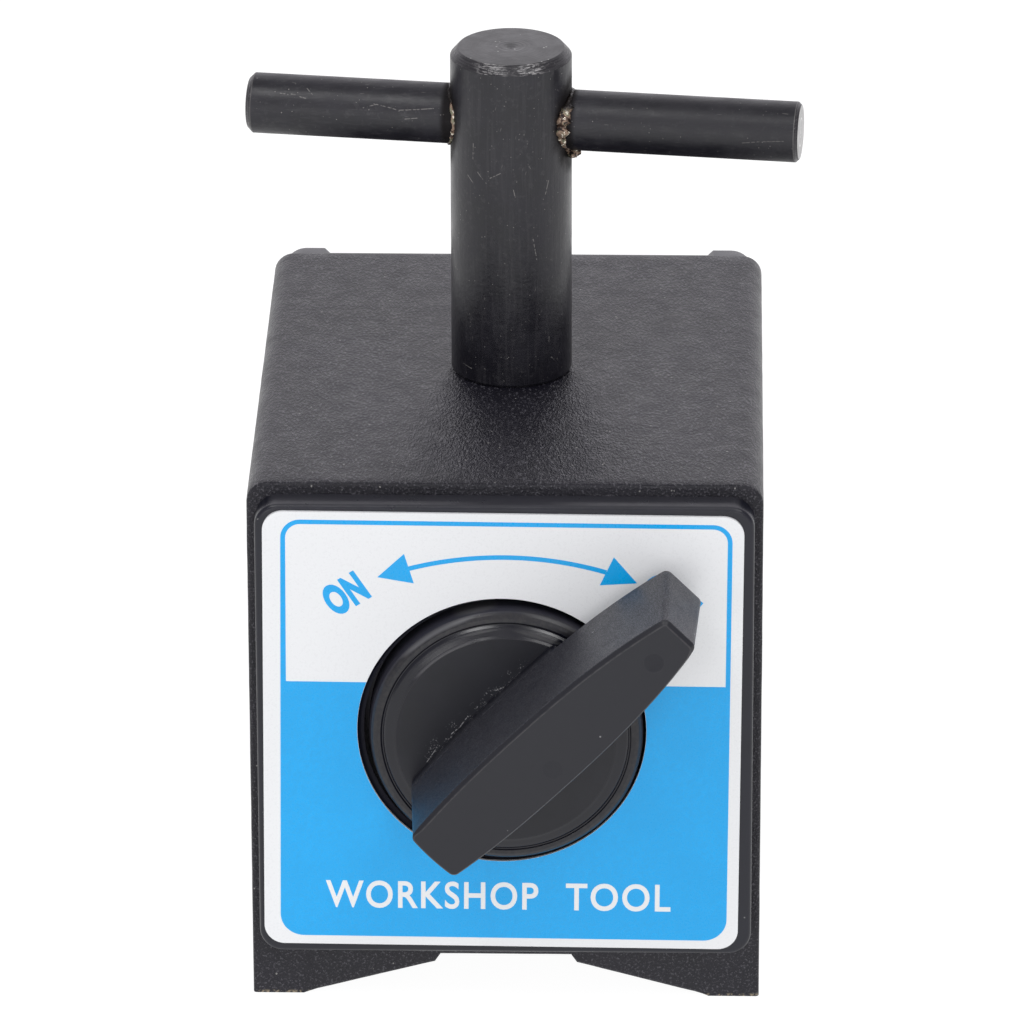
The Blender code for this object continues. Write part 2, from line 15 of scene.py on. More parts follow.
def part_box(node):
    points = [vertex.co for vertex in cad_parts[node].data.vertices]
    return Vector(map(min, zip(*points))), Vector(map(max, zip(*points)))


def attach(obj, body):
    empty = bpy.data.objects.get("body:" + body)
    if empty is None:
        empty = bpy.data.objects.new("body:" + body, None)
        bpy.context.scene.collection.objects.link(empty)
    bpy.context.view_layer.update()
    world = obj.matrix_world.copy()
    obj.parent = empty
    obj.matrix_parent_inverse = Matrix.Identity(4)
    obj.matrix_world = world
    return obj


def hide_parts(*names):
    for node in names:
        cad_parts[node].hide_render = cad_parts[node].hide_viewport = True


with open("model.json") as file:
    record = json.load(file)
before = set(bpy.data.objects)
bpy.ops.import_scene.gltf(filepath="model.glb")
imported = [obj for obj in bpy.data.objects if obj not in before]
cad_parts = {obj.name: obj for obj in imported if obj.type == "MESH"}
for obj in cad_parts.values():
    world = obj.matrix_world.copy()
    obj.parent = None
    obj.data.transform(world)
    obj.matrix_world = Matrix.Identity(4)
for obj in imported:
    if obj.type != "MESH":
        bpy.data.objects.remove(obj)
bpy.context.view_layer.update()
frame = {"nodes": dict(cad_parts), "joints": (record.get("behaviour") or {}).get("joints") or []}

MM = 0.001
NOISE_SEED = 7
noise.seed_set(NOISE_SEED)

# Places from the frame
POST_LOW, POST_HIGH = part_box("post")
AXIS_X = (POST_LOW.x + POST_HIGH.x) / 2
AXIS_Y = (POST_LOW.y + POST_HIGH.y) / 2
BLOCK_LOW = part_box("left_pole_block")[0]
BLOCK_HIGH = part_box("right_pole_block")[1]
COVER_LOW, COVER_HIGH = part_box("front_cover")
REAR_LOW, REAR_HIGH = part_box("rear_cover")
LABEL_LOW, LABEL_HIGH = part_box("label_plate")
BAR_LOW, BAR_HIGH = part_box("cross_bar")
STUD_LOW, STUD_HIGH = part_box("threaded_stud")
WASHER_LOW, WASHER_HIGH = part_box("post_lock_washer")
CAP_FACE_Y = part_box("rotor_front_cap")[1].y - 3.6 * MM
GRIP_FRONT_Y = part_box("knob")[0].y
KNOB_Z = frame["joints"][0]["pos_m"][2]

# Steel body
SEAM_X = 6.5 * MM
TOP_EDGE_RADIUS = 2.0 * MM
FACE_EDGE_RADIUS = 0.35 * MM
FOOT_INNER_X = 20.0 * MM
VEE_TOP = (7.0 * MM, 3.5 * MM)
SLOT_ROOF_Z = 4.34 * MM
BORE_RADIUS = 15.3 * MM
COAT_WAVE = 0.030 * MM
COAT_THICKNESS = 0.055 * MM
GRID = 1.3 * MM
WASHER_SEAT_RADIUS = 5.8 * MM
STUD_HOLE_RADIUS = 4.2 * MM

# Covers, well and label
COVER_CORNER = 2.3 * MM
WELL_RADIUS = 13.75 * MM
LABEL_HOLE_RADIUS = 14.1 * MM
LABEL_HOLE = (AXIS_X - 0.28 * MM, 30.2 * MM)
LABEL_TILT = radians(-0.4)
PRINT_HEIGHT = 0.010 * MM

# Knob
POINTER_ANGLE = radians(45.0)
KNOB_X = AXIS_X + 0.16 * MM
GRIP_SHIFT = 0.12 * MM
GRIP_TAIL = -9.85 * MM
GRIP_TIP = 23.92 * MM
GRIP_DRAFT = 0.45 * MM
TIP_DRAFT = 0.44 * MM
TAIL_BULGE = 0.18 * MM
OVERHANG_Y = GRIP_FRONT_Y + 10.7 * MM
DISC_FACE_Y = GRIP_FRONT_Y + 12.2 * MM
DISC_RADIUS = 13.40 * MM
SKIRT_RADIUS = 14.8 * MM

# Handle
POST_RADIUS = (POST_HIGH.x - POST_LOW.x) / 2
BAR_YAW = radians(-7.7)
BAR_RADIUS = (BAR_HIGH.z - BAR_LOW.z) / 2
BAR_Z = (BAR_LOW.z + BAR_HIGH.z) / 2
BAR_LENGTH = 54.98 * MM
BAR_CENTRE = tuple((BAR_LOW + BAR_HIGH) / 2)
BAR_LINE = (cos(BAR_YAW), sin(BAR_YAW), 0)
BAR_CHAMFER_LEFT = 0.50 * MM
BAR_CHAMFER_RIGHT = 0.33 * MM
THREAD_PITCH = 1.25 * MM


# ---------------------------------------------------------------- outlines

def arc(centre, radius, start, end, steps):
    """Points of an arc from start to end, both included."""
    angles = [start + (end - start) * i / steps for i in range(steps + 1)]
    return [(centre[0] + radius * cos(a), centre[1] + radius * sin(a)) for a in angles]


def rounded(points, radii, closed=True, steps=6):
    """An outline with an arc of the given radius at each corner. Radius 0 keeps it sharp."""
    result = []
    count = len(points)
    for i, point in enumerate(points):
        corner = Vector(point)
        ends = not closed and i in (0, count - 1)
        if ends or radii[i] == 0:
            result.append(tuple(corner))
            continue
        before = (Vector(points[i - 1]) - corner).normalized()
        after = (Vector(points[(i + 1) % count]) - corner).normalized()
        half = acos(max(-1.0, min(1.0, before.dot(after)))) / 2
        centre = corner + (before + after).normalized() * radii[i] / sin(half)
        first = corner + before * radii[i] / tan(half) - centre
        last = corner + after * radii[i] / tan(half) - centre
        sweep = pi - 2 * half
        for k in range(steps + 1):
            t = k / steps
            spoke = first * sin((1 - t) * sweep) / sin(sweep) + last * sin(t * sweep) / sin(sweep)
            result.append(tuple(centre + spoke))
    return result


def rectangle(low_x, high_x, low_z, high_z):
    return [(high_x, low_z), (high_x, high_z), (low_x, high_z), (low_x, low_z)]


def divided(points, step):
    """The same closed outline, with extra points so that no stretch is longer than step."""
    result = []
    for i, point in enumerate(points):
        here, following = Vector(point), Vector(points[(i + 1) % len(points)])
        pieces = max(1, round((following - here).length / step))
        result += [tuple(here.lerp(following, k / pieces)) for k in range(pieces)]
    return result


def inset(points, distance):
    """Move each point of a closed counterclockwise outline inwards."""
    moved = []
    count = len(points)
    for i, point in enumerate(points):
        before = Vector(point) - Vector(points[i - 1])
        after = Vector(points[(i + 1) % count]) - Vector(point)
        normal = Vector((-before.y, before.x)).normalized() + Vector((-after.y, after.x)).normalized()
        scale = 2 / max(normal.length_squared, 0.5)
        moved.append((point[0] + normal.x * scale * distance, point[1] + normal.y * scale * distance))
    return moved


# ---------------------------------------------------------------- solids

def loft(rings, closed=False):
    """A solid through rings of (x, y, z) points with the same count: a closed one has no ends."""
    shape = bmesh.new()
    loops = [[shape.verts.new(point) for point in ring] for ring in rings]
    if closed:
        loops.append(loops[0])
    count = len(loops[0])
    for near, far in zip(loops, loops[1:]):
        for i in range(count):
            j = (i + 1) % count
            shape.faces.new((near[i], far[i], far[j], near[j]))
    if not closed:
        shape.faces.new(loops[0])
        shape.faces.new(list(reversed(loops[-1])))
    return shape


def slab(outline, near_y, far_y, front_round=0.0, back_round=0.0, steps=4):
    """An (x, z) outline extruded along Y, with rounded rims where a radius is given."""
    turns = [pi / 2 * k / steps for k in range(steps + 1)]
    fronts = [(near_y, 0.0)]
    if front_round:
        fronts = [(near_y + front_round * (1 - cos(a)), front_round * (1 - sin(a))) for a in turns]
    backs = [(far_y, 0.0)]
    if back_round:
        backs = [(far_y - back_round * (1 - sin(a)), back_round * (1 - cos(a))) for a in turns]
    return loft([[(x, y, z) for x, z in inset(outline, d)] for y, d in fronts + backs])


def turned(profile, steps=96, along="Z", centre=(0, 0)):
    """A solid of revolution from (radius, distance) points along an axis."""
    shape = bmesh.new()
    rings = []
    for radius, distance in profile:
        ring = []
        for i in range(steps if radius > 0 else 1):
            a = 2 * pi * i / steps
            u, v = centre[0] + radius * cos(a), centre[1] + radius * sin(a)
            ring.append(shape.verts.new((u, v, distance) if along == "Z" else (u, distance, v)))
        rings.append(ring)
    pairs = list(zip(rings, rings[1:]))
    if profile[0][0] > 0:
        pairs.append((rings[-1], rings[0]))
    for ring, following in pairs:
        for i in range(steps):
            j = (i + 1) % steps
            corners = [ring[i % len(ring)], ring[j % len(ring)]]
            corners += [following[j % len(following)], following[i % len(following)]]
            shape.faces.new(list(dict.fromkeys(corners)))
    return shape


def move(shape, matrix):
    bmesh.ops.transform(shape, matrix=matrix, verts=shape.verts)
    return shape


def make_piece(name, shape, paint, body, replaced=(), smooth=35):
    """Turn a bmesh into a finished piece that rides on a body."""
    bmesh.ops.recalc_face_normals(shape, faces=shape.faces)
    mesh = bpy.data.meshes.new(name)
    shape.to_mesh(mesh)
    shape.free()
    piece = bpy.data.objects.new(name, mesh)
    bpy.context.scene.collection.objects.link(piece)
    for material in paint if isinstance(paint, (list, tuple)) else [paint]:
        mesh.materials.append(material)
    smooth_by_angle(mesh, smooth)
    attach(piece, body)
    if replaced:
        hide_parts(*replaced)
    return piece


def smooth_by_angle(mesh, degrees):
    mesh.shade_smooth()
    mesh.set_sharp_from_angle(angle=radians(degrees))


def combine(piece, shape, operation="DIFFERENCE", smooth=35):
    """Cut a shape out of a piece, or join it on, and keep the result as its mesh."""
    bmesh.ops.recalc_face_normals(shape, faces=shape.faces)
    tool_mesh = bpy.data.meshes.new("tool")
    shape.to_mesh(tool_mesh)
    shape.free()
    tool = bpy.data.objects.new("tool", tool_mesh)
    bpy.context.scene.collection.objects.link(tool)
    modifier = piece.modifiers.new("combine", "BOOLEAN")
    modifier.operation = operation
    modifier.solver = "EXACT"
    modifier.object = tool
    bpy.context.view_layer.update()
    graph = bpy.context.evaluated_depsgraph_get()
    result = bpy.data.meshes.new_from_object(piece.evaluated_get(graph))
    piece.modifiers.clear()
    piece.data = result
    smooth_by_angle(result, smooth)
    bpy.data.objects.remove(tool, do_unlink=True)
    return piece


# ---------------------------------------------------------------- materials

def tone(red, green, blue):
    """A linear colour from ordinary 0 to 255 values."""
    def linear(value):
        value /= 255
        return value / 12.92 if value <= 0.04045 else ((value + 0.055) / 1.055) ** 2.4
    return (linear(red), linear(green), linear(blue))


class Value:
    """A number that varies over a surface. It can be used in a sum as a plain number can."""

    def __init__(self, nodes, socket):
        self.nodes, self.socket = nodes, socket

    def __add__(self, other):
        return self.nodes.math("ADD", self, other)

    def __sub__(self, other):
        return self.nodes.math("SUBTRACT", self, other)

    def __mul__(self, other):
        return self.nodes.math("MULTIPLY", self, other)

    def __abs__(self):
        return self.nodes.math("ABSOLUTE", self)


class Nodes:
    """Shorthands for a tree of shader nodes."""

    def __init__(self, tree, coordinates):
        self.tree = tree
        self.place = self.add("ShaderNodeTexCoord").outputs[coordinates]

    def add(self, kind, inputs=None, **settings):
        """New node: inputs go to its sockets, by name or number, and settings to the node itself."""
        node = self.tree.nodes.new(kind)
        for key, value in settings.items():
            setattr(node, key, value)
        for key, value in (inputs or {}).items():
            self.feed(node.inputs[key], value)
        return node

    def feed(self, socket, value):
        """Give a socket a constant, a colour of three numbers, a Value or another socket."""
        if isinstance(value, Value):
            value = value.socket
        if isinstance(value, bpy.types.NodeSocket):
            self.tree.links.new(value, socket)
        elif socket.type == "RGBA":
            socket.default_value = (*value, 1)
        else:
            socket.default_value = value

    def number(self, node, output):
        return Value(self, node.outputs[output])

    def axis(self, name):
        return self.number(self.add("ShaderNodeSeparateXYZ", {"Vector": self.place}), name)

    def math(self, operation, first, second=0.0, clamped=False):
        inputs = {0: first, 1: second}
        node = self.add("ShaderNodeMath", inputs, operation=operation, use_clamp=clamped)
        return self.number(node, "Value")

    def sine(self, angle):
        return self.math("SINE", angle)

    def most(self, first, second):
        return self.math("MAXIMUM", first, second)

    def remap(self, value, low, high, to_low=0.0, to_high=1.0):
        """Carry low to to_low and high to to_high, with a soft start and end."""
        inputs = {"Value": value, "From Min": low, "From Max": high, "To Min": to_low, "To Max": to_high}
        return self.number(self.add("ShaderNodeMapRange", inputs, interpolation_type="SMOOTHSTEP"), "Result")


class Paint(Nodes):
    """A Principled material, built up from procedural nodes in the object's own space."""

    def __init__(self, name, **constants):
        self.material = bpy.data.materials.new(name)
        self.material.use_nodes = True
        super().__init__(self.material.node_tree, "Object")
        self.shader = self.tree.nodes["Principled BSDF"]
        self.set(**constants)

    def set(self, **values):
        """Set the shader's inputs, such as Base_Color or Roughness."""
        for key, value in values.items():
            self.feed(self.shader.inputs[key.replace("_", " ")], value)

    def finish(self, colour, rough, relief):
        self.set(Base_Color=colour, Roughness=rough, Normal=relief)
        return self.material

    def stretched(self, scale):
        inputs = {"Vector": self.place, "Scale": scale}
        return self.add("ShaderNodeMapping", inputs).outputs["Vector"]

    def noise(self, size, detail=2.0, rough=0.5, where=None, distortion=0.0):
        """Smooth noise whose blobs are about size across, in metres."""
        inputs = {"Vector": where or self.place, "Scale": 1 / size, "Detail": detail}
        inputs.update({"Roughness": rough, "Distortion": distortion})
        return self.number(self.add("ShaderNodeTexNoise", inputs), "Fac")

    def cells(self, size, where=None):
        """Distance to the middle of the nearest of many cells about size across, in metres."""
        inputs = {"Vector": where or self.place, "Scale": 1 / size}
        return self.number(self.add("ShaderNodeTexVoronoi", inputs), "Distance")

    def mix(self, factor, first, second):
        node = self.add("ShaderNodeMix", {"Factor": factor}, data_type="RGBA")
        for socket, colour in zip([s for s in node.inputs if s.type == "RGBA"], (first, second)):
            self.feed(socket, colour)
        return next(s for s in node.outputs if s.type == "RGBA")

    def bump(self, height, depth, under=None):
        """Relief of the given depth in metres. Calls can be stacked."""
        inputs = {"Strength": 1.0, "Distance": depth, "Height": height}
        if under:
            inputs["Normal"] = under
        return self.add("ShaderNodeBump", inputs).outputs["Normal"]

    def specks(self, size, amount):
        """Mask of sparse small specks: amount is the share of the surface's cells that have one."""
        dots = self.remap(self.cells(size), 0.16, 0.10)
        return dots * self.remap(self.noise(size * 1.7, 0.0), 1.0 - amount, 1.02 - amount)

    def dashes(self, size, ratio, turn, amount):
        """Mask of separate short strokes along one direction, thin and faint at their ends."""
        inputs = {"Vector": self.place, "Rotation": turn, "Scale": (ratio, 1, 1)}
        where = self.add("ShaderNodeMapping", inputs, vector_type="TEXTURE").outputs["Vector"]
        lines = self.remap(self.cells(size, where), 0.085, 0.02)
        return lines * self.remap(self.noise(size * 3, 1.0), 1.0 - amount, 1.04 - amount)

    def vector_math(self, operation, first, second):
        return self.add("ShaderNodeVectorMath", {0: first, 1: second}, operation=operation)

    def measure(self, direction, origin):
        """Distance from an origin, along a direction of length 1."""
        along = self.number(self.vector_math("DOT_PRODUCT", self.place, direction), "Value")
        return along - Vector(direction).dot(Vector(origin))

    def length(self, first, second):
        return self.math("SQRT", first * first + second * second)

    def stroke(self, start, end, width):
        """Mask of one thin line between two points on the surface."""
        start, run = Vector(start), Vector(end) - Vector(start)
        offset = self.vector_math("SUBTRACT", self.place, start).outputs["Vector"]
        share = self.number(self.vector_math("DOT_PRODUCT", offset, run / run.length_squared), "Value")
        held = self.math("MULTIPLY", share, 1.0, clamped=True)
        nearest = self.add("ShaderNodeVectorMath", {"Vector": run}, operation="SCALE")
        self.feed(nearest.inputs["Scale"], held)
        gap = self.number(self.vector_math("DISTANCE", offset, nearest.outputs["Vector"]), "Value")
        return self.remap(gap, width * 0.5, width * 0.2)

    def strokes(self, lines, width):
        """Mask of several single scratches, each broken up along its length."""
        masks = [self.stroke(start, end, width) for start, end in lines]
        return reduce(self.most, masks) * self.remap(self.noise(0.28 * MM, 1.0), 0.36, 0.56)


def coated_steel():
    """Charcoal texture coat: fine grain, faint clouds, pale dust and bare chips at the feet."""
    paint = Paint("coated_steel", Metallic=0.0, IOR=1.395)
    grain = paint.noise(0.23 * MM, 2.0, 0.7, paint.stretched((1, 0.45, 1)))
    clouds = paint.noise(9 * MM, 3.0, 0.55)
    colour = paint.mix(paint.remap(clouds, 0.35, 0.7), (0.0062, 0.0058, 0.0100), (0.0095, 0.0088, 0.0145))
    colour = paint.mix(paint.remap(grain, 0.54, 0.68), colour, (0.066, 0.064, 0.075))
    dust = paint.specks(0.75 * MM, 0.34)
    colour = paint.mix(dust * 0.55, colour, (0.42, 0.41, 0.39))
    height = paint.axis("Z")
    ragged = paint.noise(0.55 * MM, 3.0, 0.6)
    low_edge = paint.remap(height, 0.40 * MM, 0.05 * MM)
    chips = low_edge * paint.remap(ragged, 0.50, 0.60)
    colour = paint.mix(chips, colour, (0.30, 0.25, 0.17))
    rough = paint.remap(paint.noise(2.5 * MM, 2.0), 0.3, 0.7, 0.34, 0.42)
    relief = paint.bump(grain, 0.14 * MM)
    waves = paint.noise(1.1 * MM, 1.0, 0.5, paint.stretched((1, 0.5, 1)))
    return paint.finish(colour, rough, paint.bump(waves, 0.050 * MM, relief))


def ground_steel():
    """Bright pole faces, ground along their length."""
    paint = Paint("ground_steel", Metallic=1.0)
    lines = paint.noise(0.25 * MM, 3.0, 0.7, paint.stretched((1, 0.02, 1)))
    stain = paint.noise(6 * MM, 3.0)
    colour = paint.mix(lines, (0.34, 0.33, 0.32), (0.56, 0.55, 0.53))
    colour = paint.mix(paint.remap(stain, 0.55, 0.75, 0.0, 0.5), colour, (0.20, 0.17, 0.13))
    rough = paint.remap(lines, 0.3, 0.7, 0.24, 0.40)
    return paint.finish(colour, rough, paint.bump(lines, 0.012 * MM))


def moulded_plastic(name, shade, rough):
    """Black moulding: nearly smooth, with a fine skin, faint scuffs and dust, and painted light on its top
    edge.
    """
    paint = Paint(name, Metallic=0.0, IOR=1.47)
    skin = paint.noise(0.22 * MM, 2.0, 0.55)
    clouds = paint.noise(5 * MM, 2.0)
    bright = tuple(1.35 * c for c in shade)
    colour = paint.mix(paint.remap(clouds, 0.3, 0.7), shade, bright)
    colour = paint.mix(paint.specks(1.1 * MM, 0.27) * 0.5, colour, (0.45, 0.45, 0.44))
    around = paint.length(paint.axis("X") - KNOB_X, paint.axis("Z") - KNOB_Z)
    depth = paint.axis("Y")
    well = paint.remap(around, 14.4 * MM, 14.1 * MM)
    well = well * paint.remap(depth, COVER_LOW.y + 0.2 * MM, COVER_LOW.y + 0.6 * MM)
    well = well * paint.remap(depth, BLOCK_LOW.y + 1.0 * MM, BLOCK_LOW.y + 0.5 * MM)
    colour = paint.mix(well, colour, (0.030, 0.030, 0.040))
    # Painted light: the cover's top edge is painted paler, as light from above falls on it.
    painted_top_light = paint.remap(paint.axis("Z"), COVER_HIGH.z - 0.30 * MM, COVER_HIGH.z - 0.05 * MM, 0.0, 0.6)
    colour = paint.mix(painted_top_light, colour, (0.045, 0.045, 0.052))
    marks = paint.dashes(0.8 * MM, 12, (0.3, -0.6, 0.2), 0.6)
    worn = paint.remap(paint.noise(1.8 * MM, 3.0), 0.3, 0.7, rough * 0.9, rough * 1.15)
    relief = paint.bump(skin, 0.006 * MM)
    return paint.finish(colour, worn + marks * 0.25, paint.bump(paint.noise(3 * MM, 1.0), 0.020 * MM, relief))


def path(points):
    """The stretches between points that follow one another."""
    return list(zip(points, points[1:]))


def on_disc_face(along, across):
    """Point on the knob's disc: along the pointer and across it, in millimetres."""
    a = POINTER_ANGLE
    x = (along * cos(a) - across * sin(a)) * MM
    z = (along * sin(a) + across * cos(a)) * MM
    return (KNOB_X + x, DISC_FACE_Y, KNOB_Z + z)


# Painted highlight arcs on the knob's rim and shoulder, where the lamps' reflections fall: radius and half
# width in millimetres, angle from the top and reach in degrees, and how pale they are.
PAINTED_HIGHLIGHT_ARCS = (
    (12.95, 0.30, -32, 15, 0.080), (13.34, 0.28, -13, 5, 0.055), (13.05, 0.36, 18, 7, 0.035),
    (10.84, 0.22, -35, 16, 0.055), (11.50, 0.25, -13, 4, 0.035), (11.25, 0.45, 18, 6, 0.030),
)


# Fibres on the disc beside the grip's root: along and across the pointer, in millimetres
DISC_FIBRES = path([(-0.9, 4.35), (-2.2, 4.1), (-3.3, 4.15), (-3.95, 3.7)])
DISC_FIBRES += path([(-5.4, 4.1), (-7.2, 3.7)]) + path([(3.0, 4.4), (3.8, 4.1)])

# Round ejector marks on the grip's front: along and across in millimetres, and how deep they look
EJECTOR_MARKS = ((20.0, -0.42, 0.22), (5.2, -1.60, 0.12))


def knob_plastic():
    """Satin black moulding, with a dusty rim, painted highlights and painted reflection on the rim, shoulder
    and grip, and crumbs along the grip's root.
    """
    paint = Paint("knob_plastic", Metallic=0.0, IOR=1.47)
    pointer = (cos(POINTER_ANGLE), 0, sin(POINTER_ANGLE))
    side = (-sin(POINTER_ANGLE), 0, cos(POINTER_ANGLE))
    centre = (KNOB_X, 0, KNOB_Z)
    along, across = paint.measure(pointer, centre), paint.measure(side, centre)
    radius, depth = paint.length(along, across), paint.axis("Y")
    on_disc = paint.remap(depth, DISC_FACE_Y - 0.9 * MM, DISC_FACE_Y - 0.3 * MM)
    skin = paint.noise(0.16 * MM, 2.0, 0.6)
    clouds = paint.noise(4 * MM, 2.0)
    colour = paint.mix(paint.remap(clouds, 0.3, 0.7), (0.0020, 0.0024, 0.0065), (0.0034, 0.0038, 0.0088))
    grip = paint.remap(depth, GRIP_FRONT_Y + 0.9 * MM, GRIP_FRONT_Y + 0.3 * MM)
    colour = paint.mix(grip, colour, (0.0072, 0.0076, 0.0125))

    rim = on_disc * paint.remap(radius, 12.1 * MM, 12.4 * MM)
    smears = paint.remap(paint.noise(0.5 * MM, 3.0, 0.7), 0.4, 0.62)
    grime = paint.mix(smears, (0.005, 0.005, 0.009), (0.015, 0.014, 0.016))
    colour = paint.mix(rim, colour, grime)
    # Painted light: the rim's outer edge is painted paler and bluer, fully on its upper side and only faintly
    # at the bottom, where it lies in shade.
    outer = on_disc * paint.remap(radius, 13.0 * MM, 13.25 * MM)
    outer = outer * paint.remap(paint.axis("Z"), KNOB_Z - 3 * MM, KNOB_Z + 4 * MM, 0.15, 1.0)
    colour = paint.mix(outer, colour, (0.026, 0.026, 0.036))
    # Painted highlights: pale arcs that stand in for the lamps' reflections on the rim and shoulder.
    for middle, half, angle, reach, bright in PAINTED_HIGHLIGHT_ARCS:
        facing = paint.measure((sin(radians(angle)), 0, cos(radians(angle))), centre)
        low, high = (middle * cos(radians(reach + shift)) * MM for shift in (5, -4))
        off = abs(radius - middle * MM)
        highlight_arc = paint.remap(off, half * MM, 0.1 * half * MM) * paint.remap(facing, low, high)
        colour = paint.mix(on_disc * highlight_arc, colour, (bright, bright, 1.08 * bright))

    # Painted reflection: the grip's flank is painted grainy and paler, most towards the tip, where it
    # reflects the white label.
    flank = paint.remap(depth, GRIP_FRONT_Y + 0.3 * MM, GRIP_FRONT_Y + 0.6 * MM)
    flank = flank - paint.remap(depth, OVERHANG_Y, OVERHANG_Y + MM)
    grains = paint.remap(paint.noise(0.13 * MM, 1.0), 0.42, 0.62)
    flank_grain_and_sheen = paint.mix(grains, (0.012, 0.012, 0.018), (0.078, 0.078, 0.088))
    colour = paint.mix(flank * paint.remap(along, 9 * MM, 19 * MM, 0.6, 1.0), colour, flank_grain_and_sheen)
    # Painted highlight: a broken pale line along the grip's front edge bevel.
    bevel_highlight = paint.remap(depth, GRIP_FRONT_Y, GRIP_FRONT_Y + 0.012 * MM)
    bevel_highlight = bevel_highlight * paint.remap(depth, GRIP_FRONT_Y + 0.11 * MM, GRIP_FRONT_Y + 0.04 * MM)
    bevel_highlight = bevel_highlight * paint.remap(paint.noise(0.7 * MM, 3.0, 0.7), 0.30, 0.6, 0.35, 1.0)
    colour = paint.mix(bevel_highlight * 0.7, colour, (0.048, 0.047, 0.050))

    near_root = paint.remap(abs(across - 4.25 * MM), 1.1 * MM, 0.1 * MM)
    swept = near_root * paint.remap(abs(along), 8 * MM, 5 * MM) * on_disc
    crumbs = paint.remap(paint.noise(0.14 * MM, 2.0, 0.6), 0.61, 0.65)
    crumbs = crumbs * paint.remap(paint.noise(1.0 * MM, 1.0), 0.50, 0.56) * swept
    fibres = [(on_disc_face(*start), on_disc_face(*end)) for start, end in DISC_FIBRES]
    debris = paint.strokes(fibres, 0.085 * MM)
    debris = paint.most(crumbs, debris)
    dust = paint.most(paint.specks(0.8 * MM, 0.24) * 0.6, debris)
    colour = paint.mix(dust * 0.75, colour, (0.45, 0.45, 0.46))

    rough = paint.remap(on_disc * paint.remap(radius, 10.6 * MM, 10.8 * MM), 0.0, 1.0, 0.42, 0.22)
    rough = rough + rim * 0.12
    rough = rough + paint.remap(paint.noise(1.6 * MM, 3.0), 0.3, 0.7, -0.03, 0.03)
    relief = paint.bump(skin, 0.004 * MM)
    relief = paint.bump(paint.noise(2.5 * MM, 1.0), 0.010 * MM, relief)
    for mark_along, mark_across, shown in EJECTOR_MARKS:
        away = paint.length(along - mark_along * MM, across - mark_across * MM)
        relief = paint.bump(paint.remap(away, 0.98 * MM, 1.15 * MM), 0.1 * MM * shown, relief)
        rough = rough + paint.remap(away, 1.08 * MM, 0.85 * MM, 0.0, shown)
    return paint.finish(colour, rough, relief)


def printed_film(name, colour, mottle):
    """Glossy label film or ink, with a slight mottle."""
    paint = Paint(name, Metallic=0.0, IOR=1.5)
    fine = paint.noise(0.25 * MM, 2.0, 0.7)
    broad = paint.noise(6 * MM, 2.0)
    darker = tuple(c * (1 - mottle) for c in colour)
    shade = paint.mix(paint.remap(fine, 0.3, 0.7), colour, darker)
    shade = paint.mix(paint.remap(broad, 0.35, 0.7, 0.0, 0.5), shade, darker)
    rough = paint.remap(fine, 0.3, 0.7, 0.26, 0.32)
    return paint.finish(shade, rough, paint.bump(paint.noise(4 * MM, 2.0), 0.010 * MM))


def on_post(degrees, height):
    """Point on the post's surface: 0 degrees faces the front and 90 the right."""
    a = radians(degrees)
    return (AXIS_X + POST_RADIUS * sin(a), AXIS_Y - POST_RADIUS * cos(a), height * MM)


def on_bar(distance, degrees):
    """Point on the bar's surface: 0 degrees faces the front and 90 the top."""
    a = radians(degrees)
    local = Vector((distance * MM, -BAR_RADIUS * cos(a), BAR_RADIUS * sin(a)))
    return tuple(bar_frame() @ local)


# Single scratches: degrees round the post and height in millimetres
POST_SCRATCHES = (
    path([(-37, 80.6), (-37.5, 79.0)]) + path([(-32, 77.7), (-27, 77.1)]) + path([(-28, 77.2), (-23, 76.7)])
    + path([(-44, 77.1), (-37, 76.4)]) + path([(-19, 77.3), (-9, 77.9)]) + path([(3, 76.4), (5, 75.4)])
    + path([(39, 76.7), (34.5, 75.0)]) + path([(-51, 56.8), (-40, 56.6)]) + path([(41.5, 57.9), (46, 57.5)])
    + path([(39.6, 60.1), (39.6, 59.5)]) + path([(17.5, 78.8), (19.6, 78.3)]) + path([(22, 71.0), (26, 68.6)])
)
# Single scratches: millimetres along the bar and degrees round it
BAR_SCRATCHES = (
    path([(-15.6, 22), (-14.3, 30), (-13.2, 26), (-12.1, 21), (-10.1, 24.5), (-8.6, 28)])
    + path([(-24.0, 41.6), (-23.2, 40)]) + path([(-22.9, 41), (-22.5, 40)])
    + path([(-22.0, 36.5), (-21.4, 34)]) + path([(-21.4, 54.8), (-20.8, 42.7)])
    + path([(-22.9, 67.7), (-22.4, 64.2)]) + path([(-11.4, 5), (-10.2, 8)])
    + path([(22.1, -6), (23.8, -1.5), (26.2, 1.8)]) + path([(25.9, 56.5), (26.4, 55.5)])
)


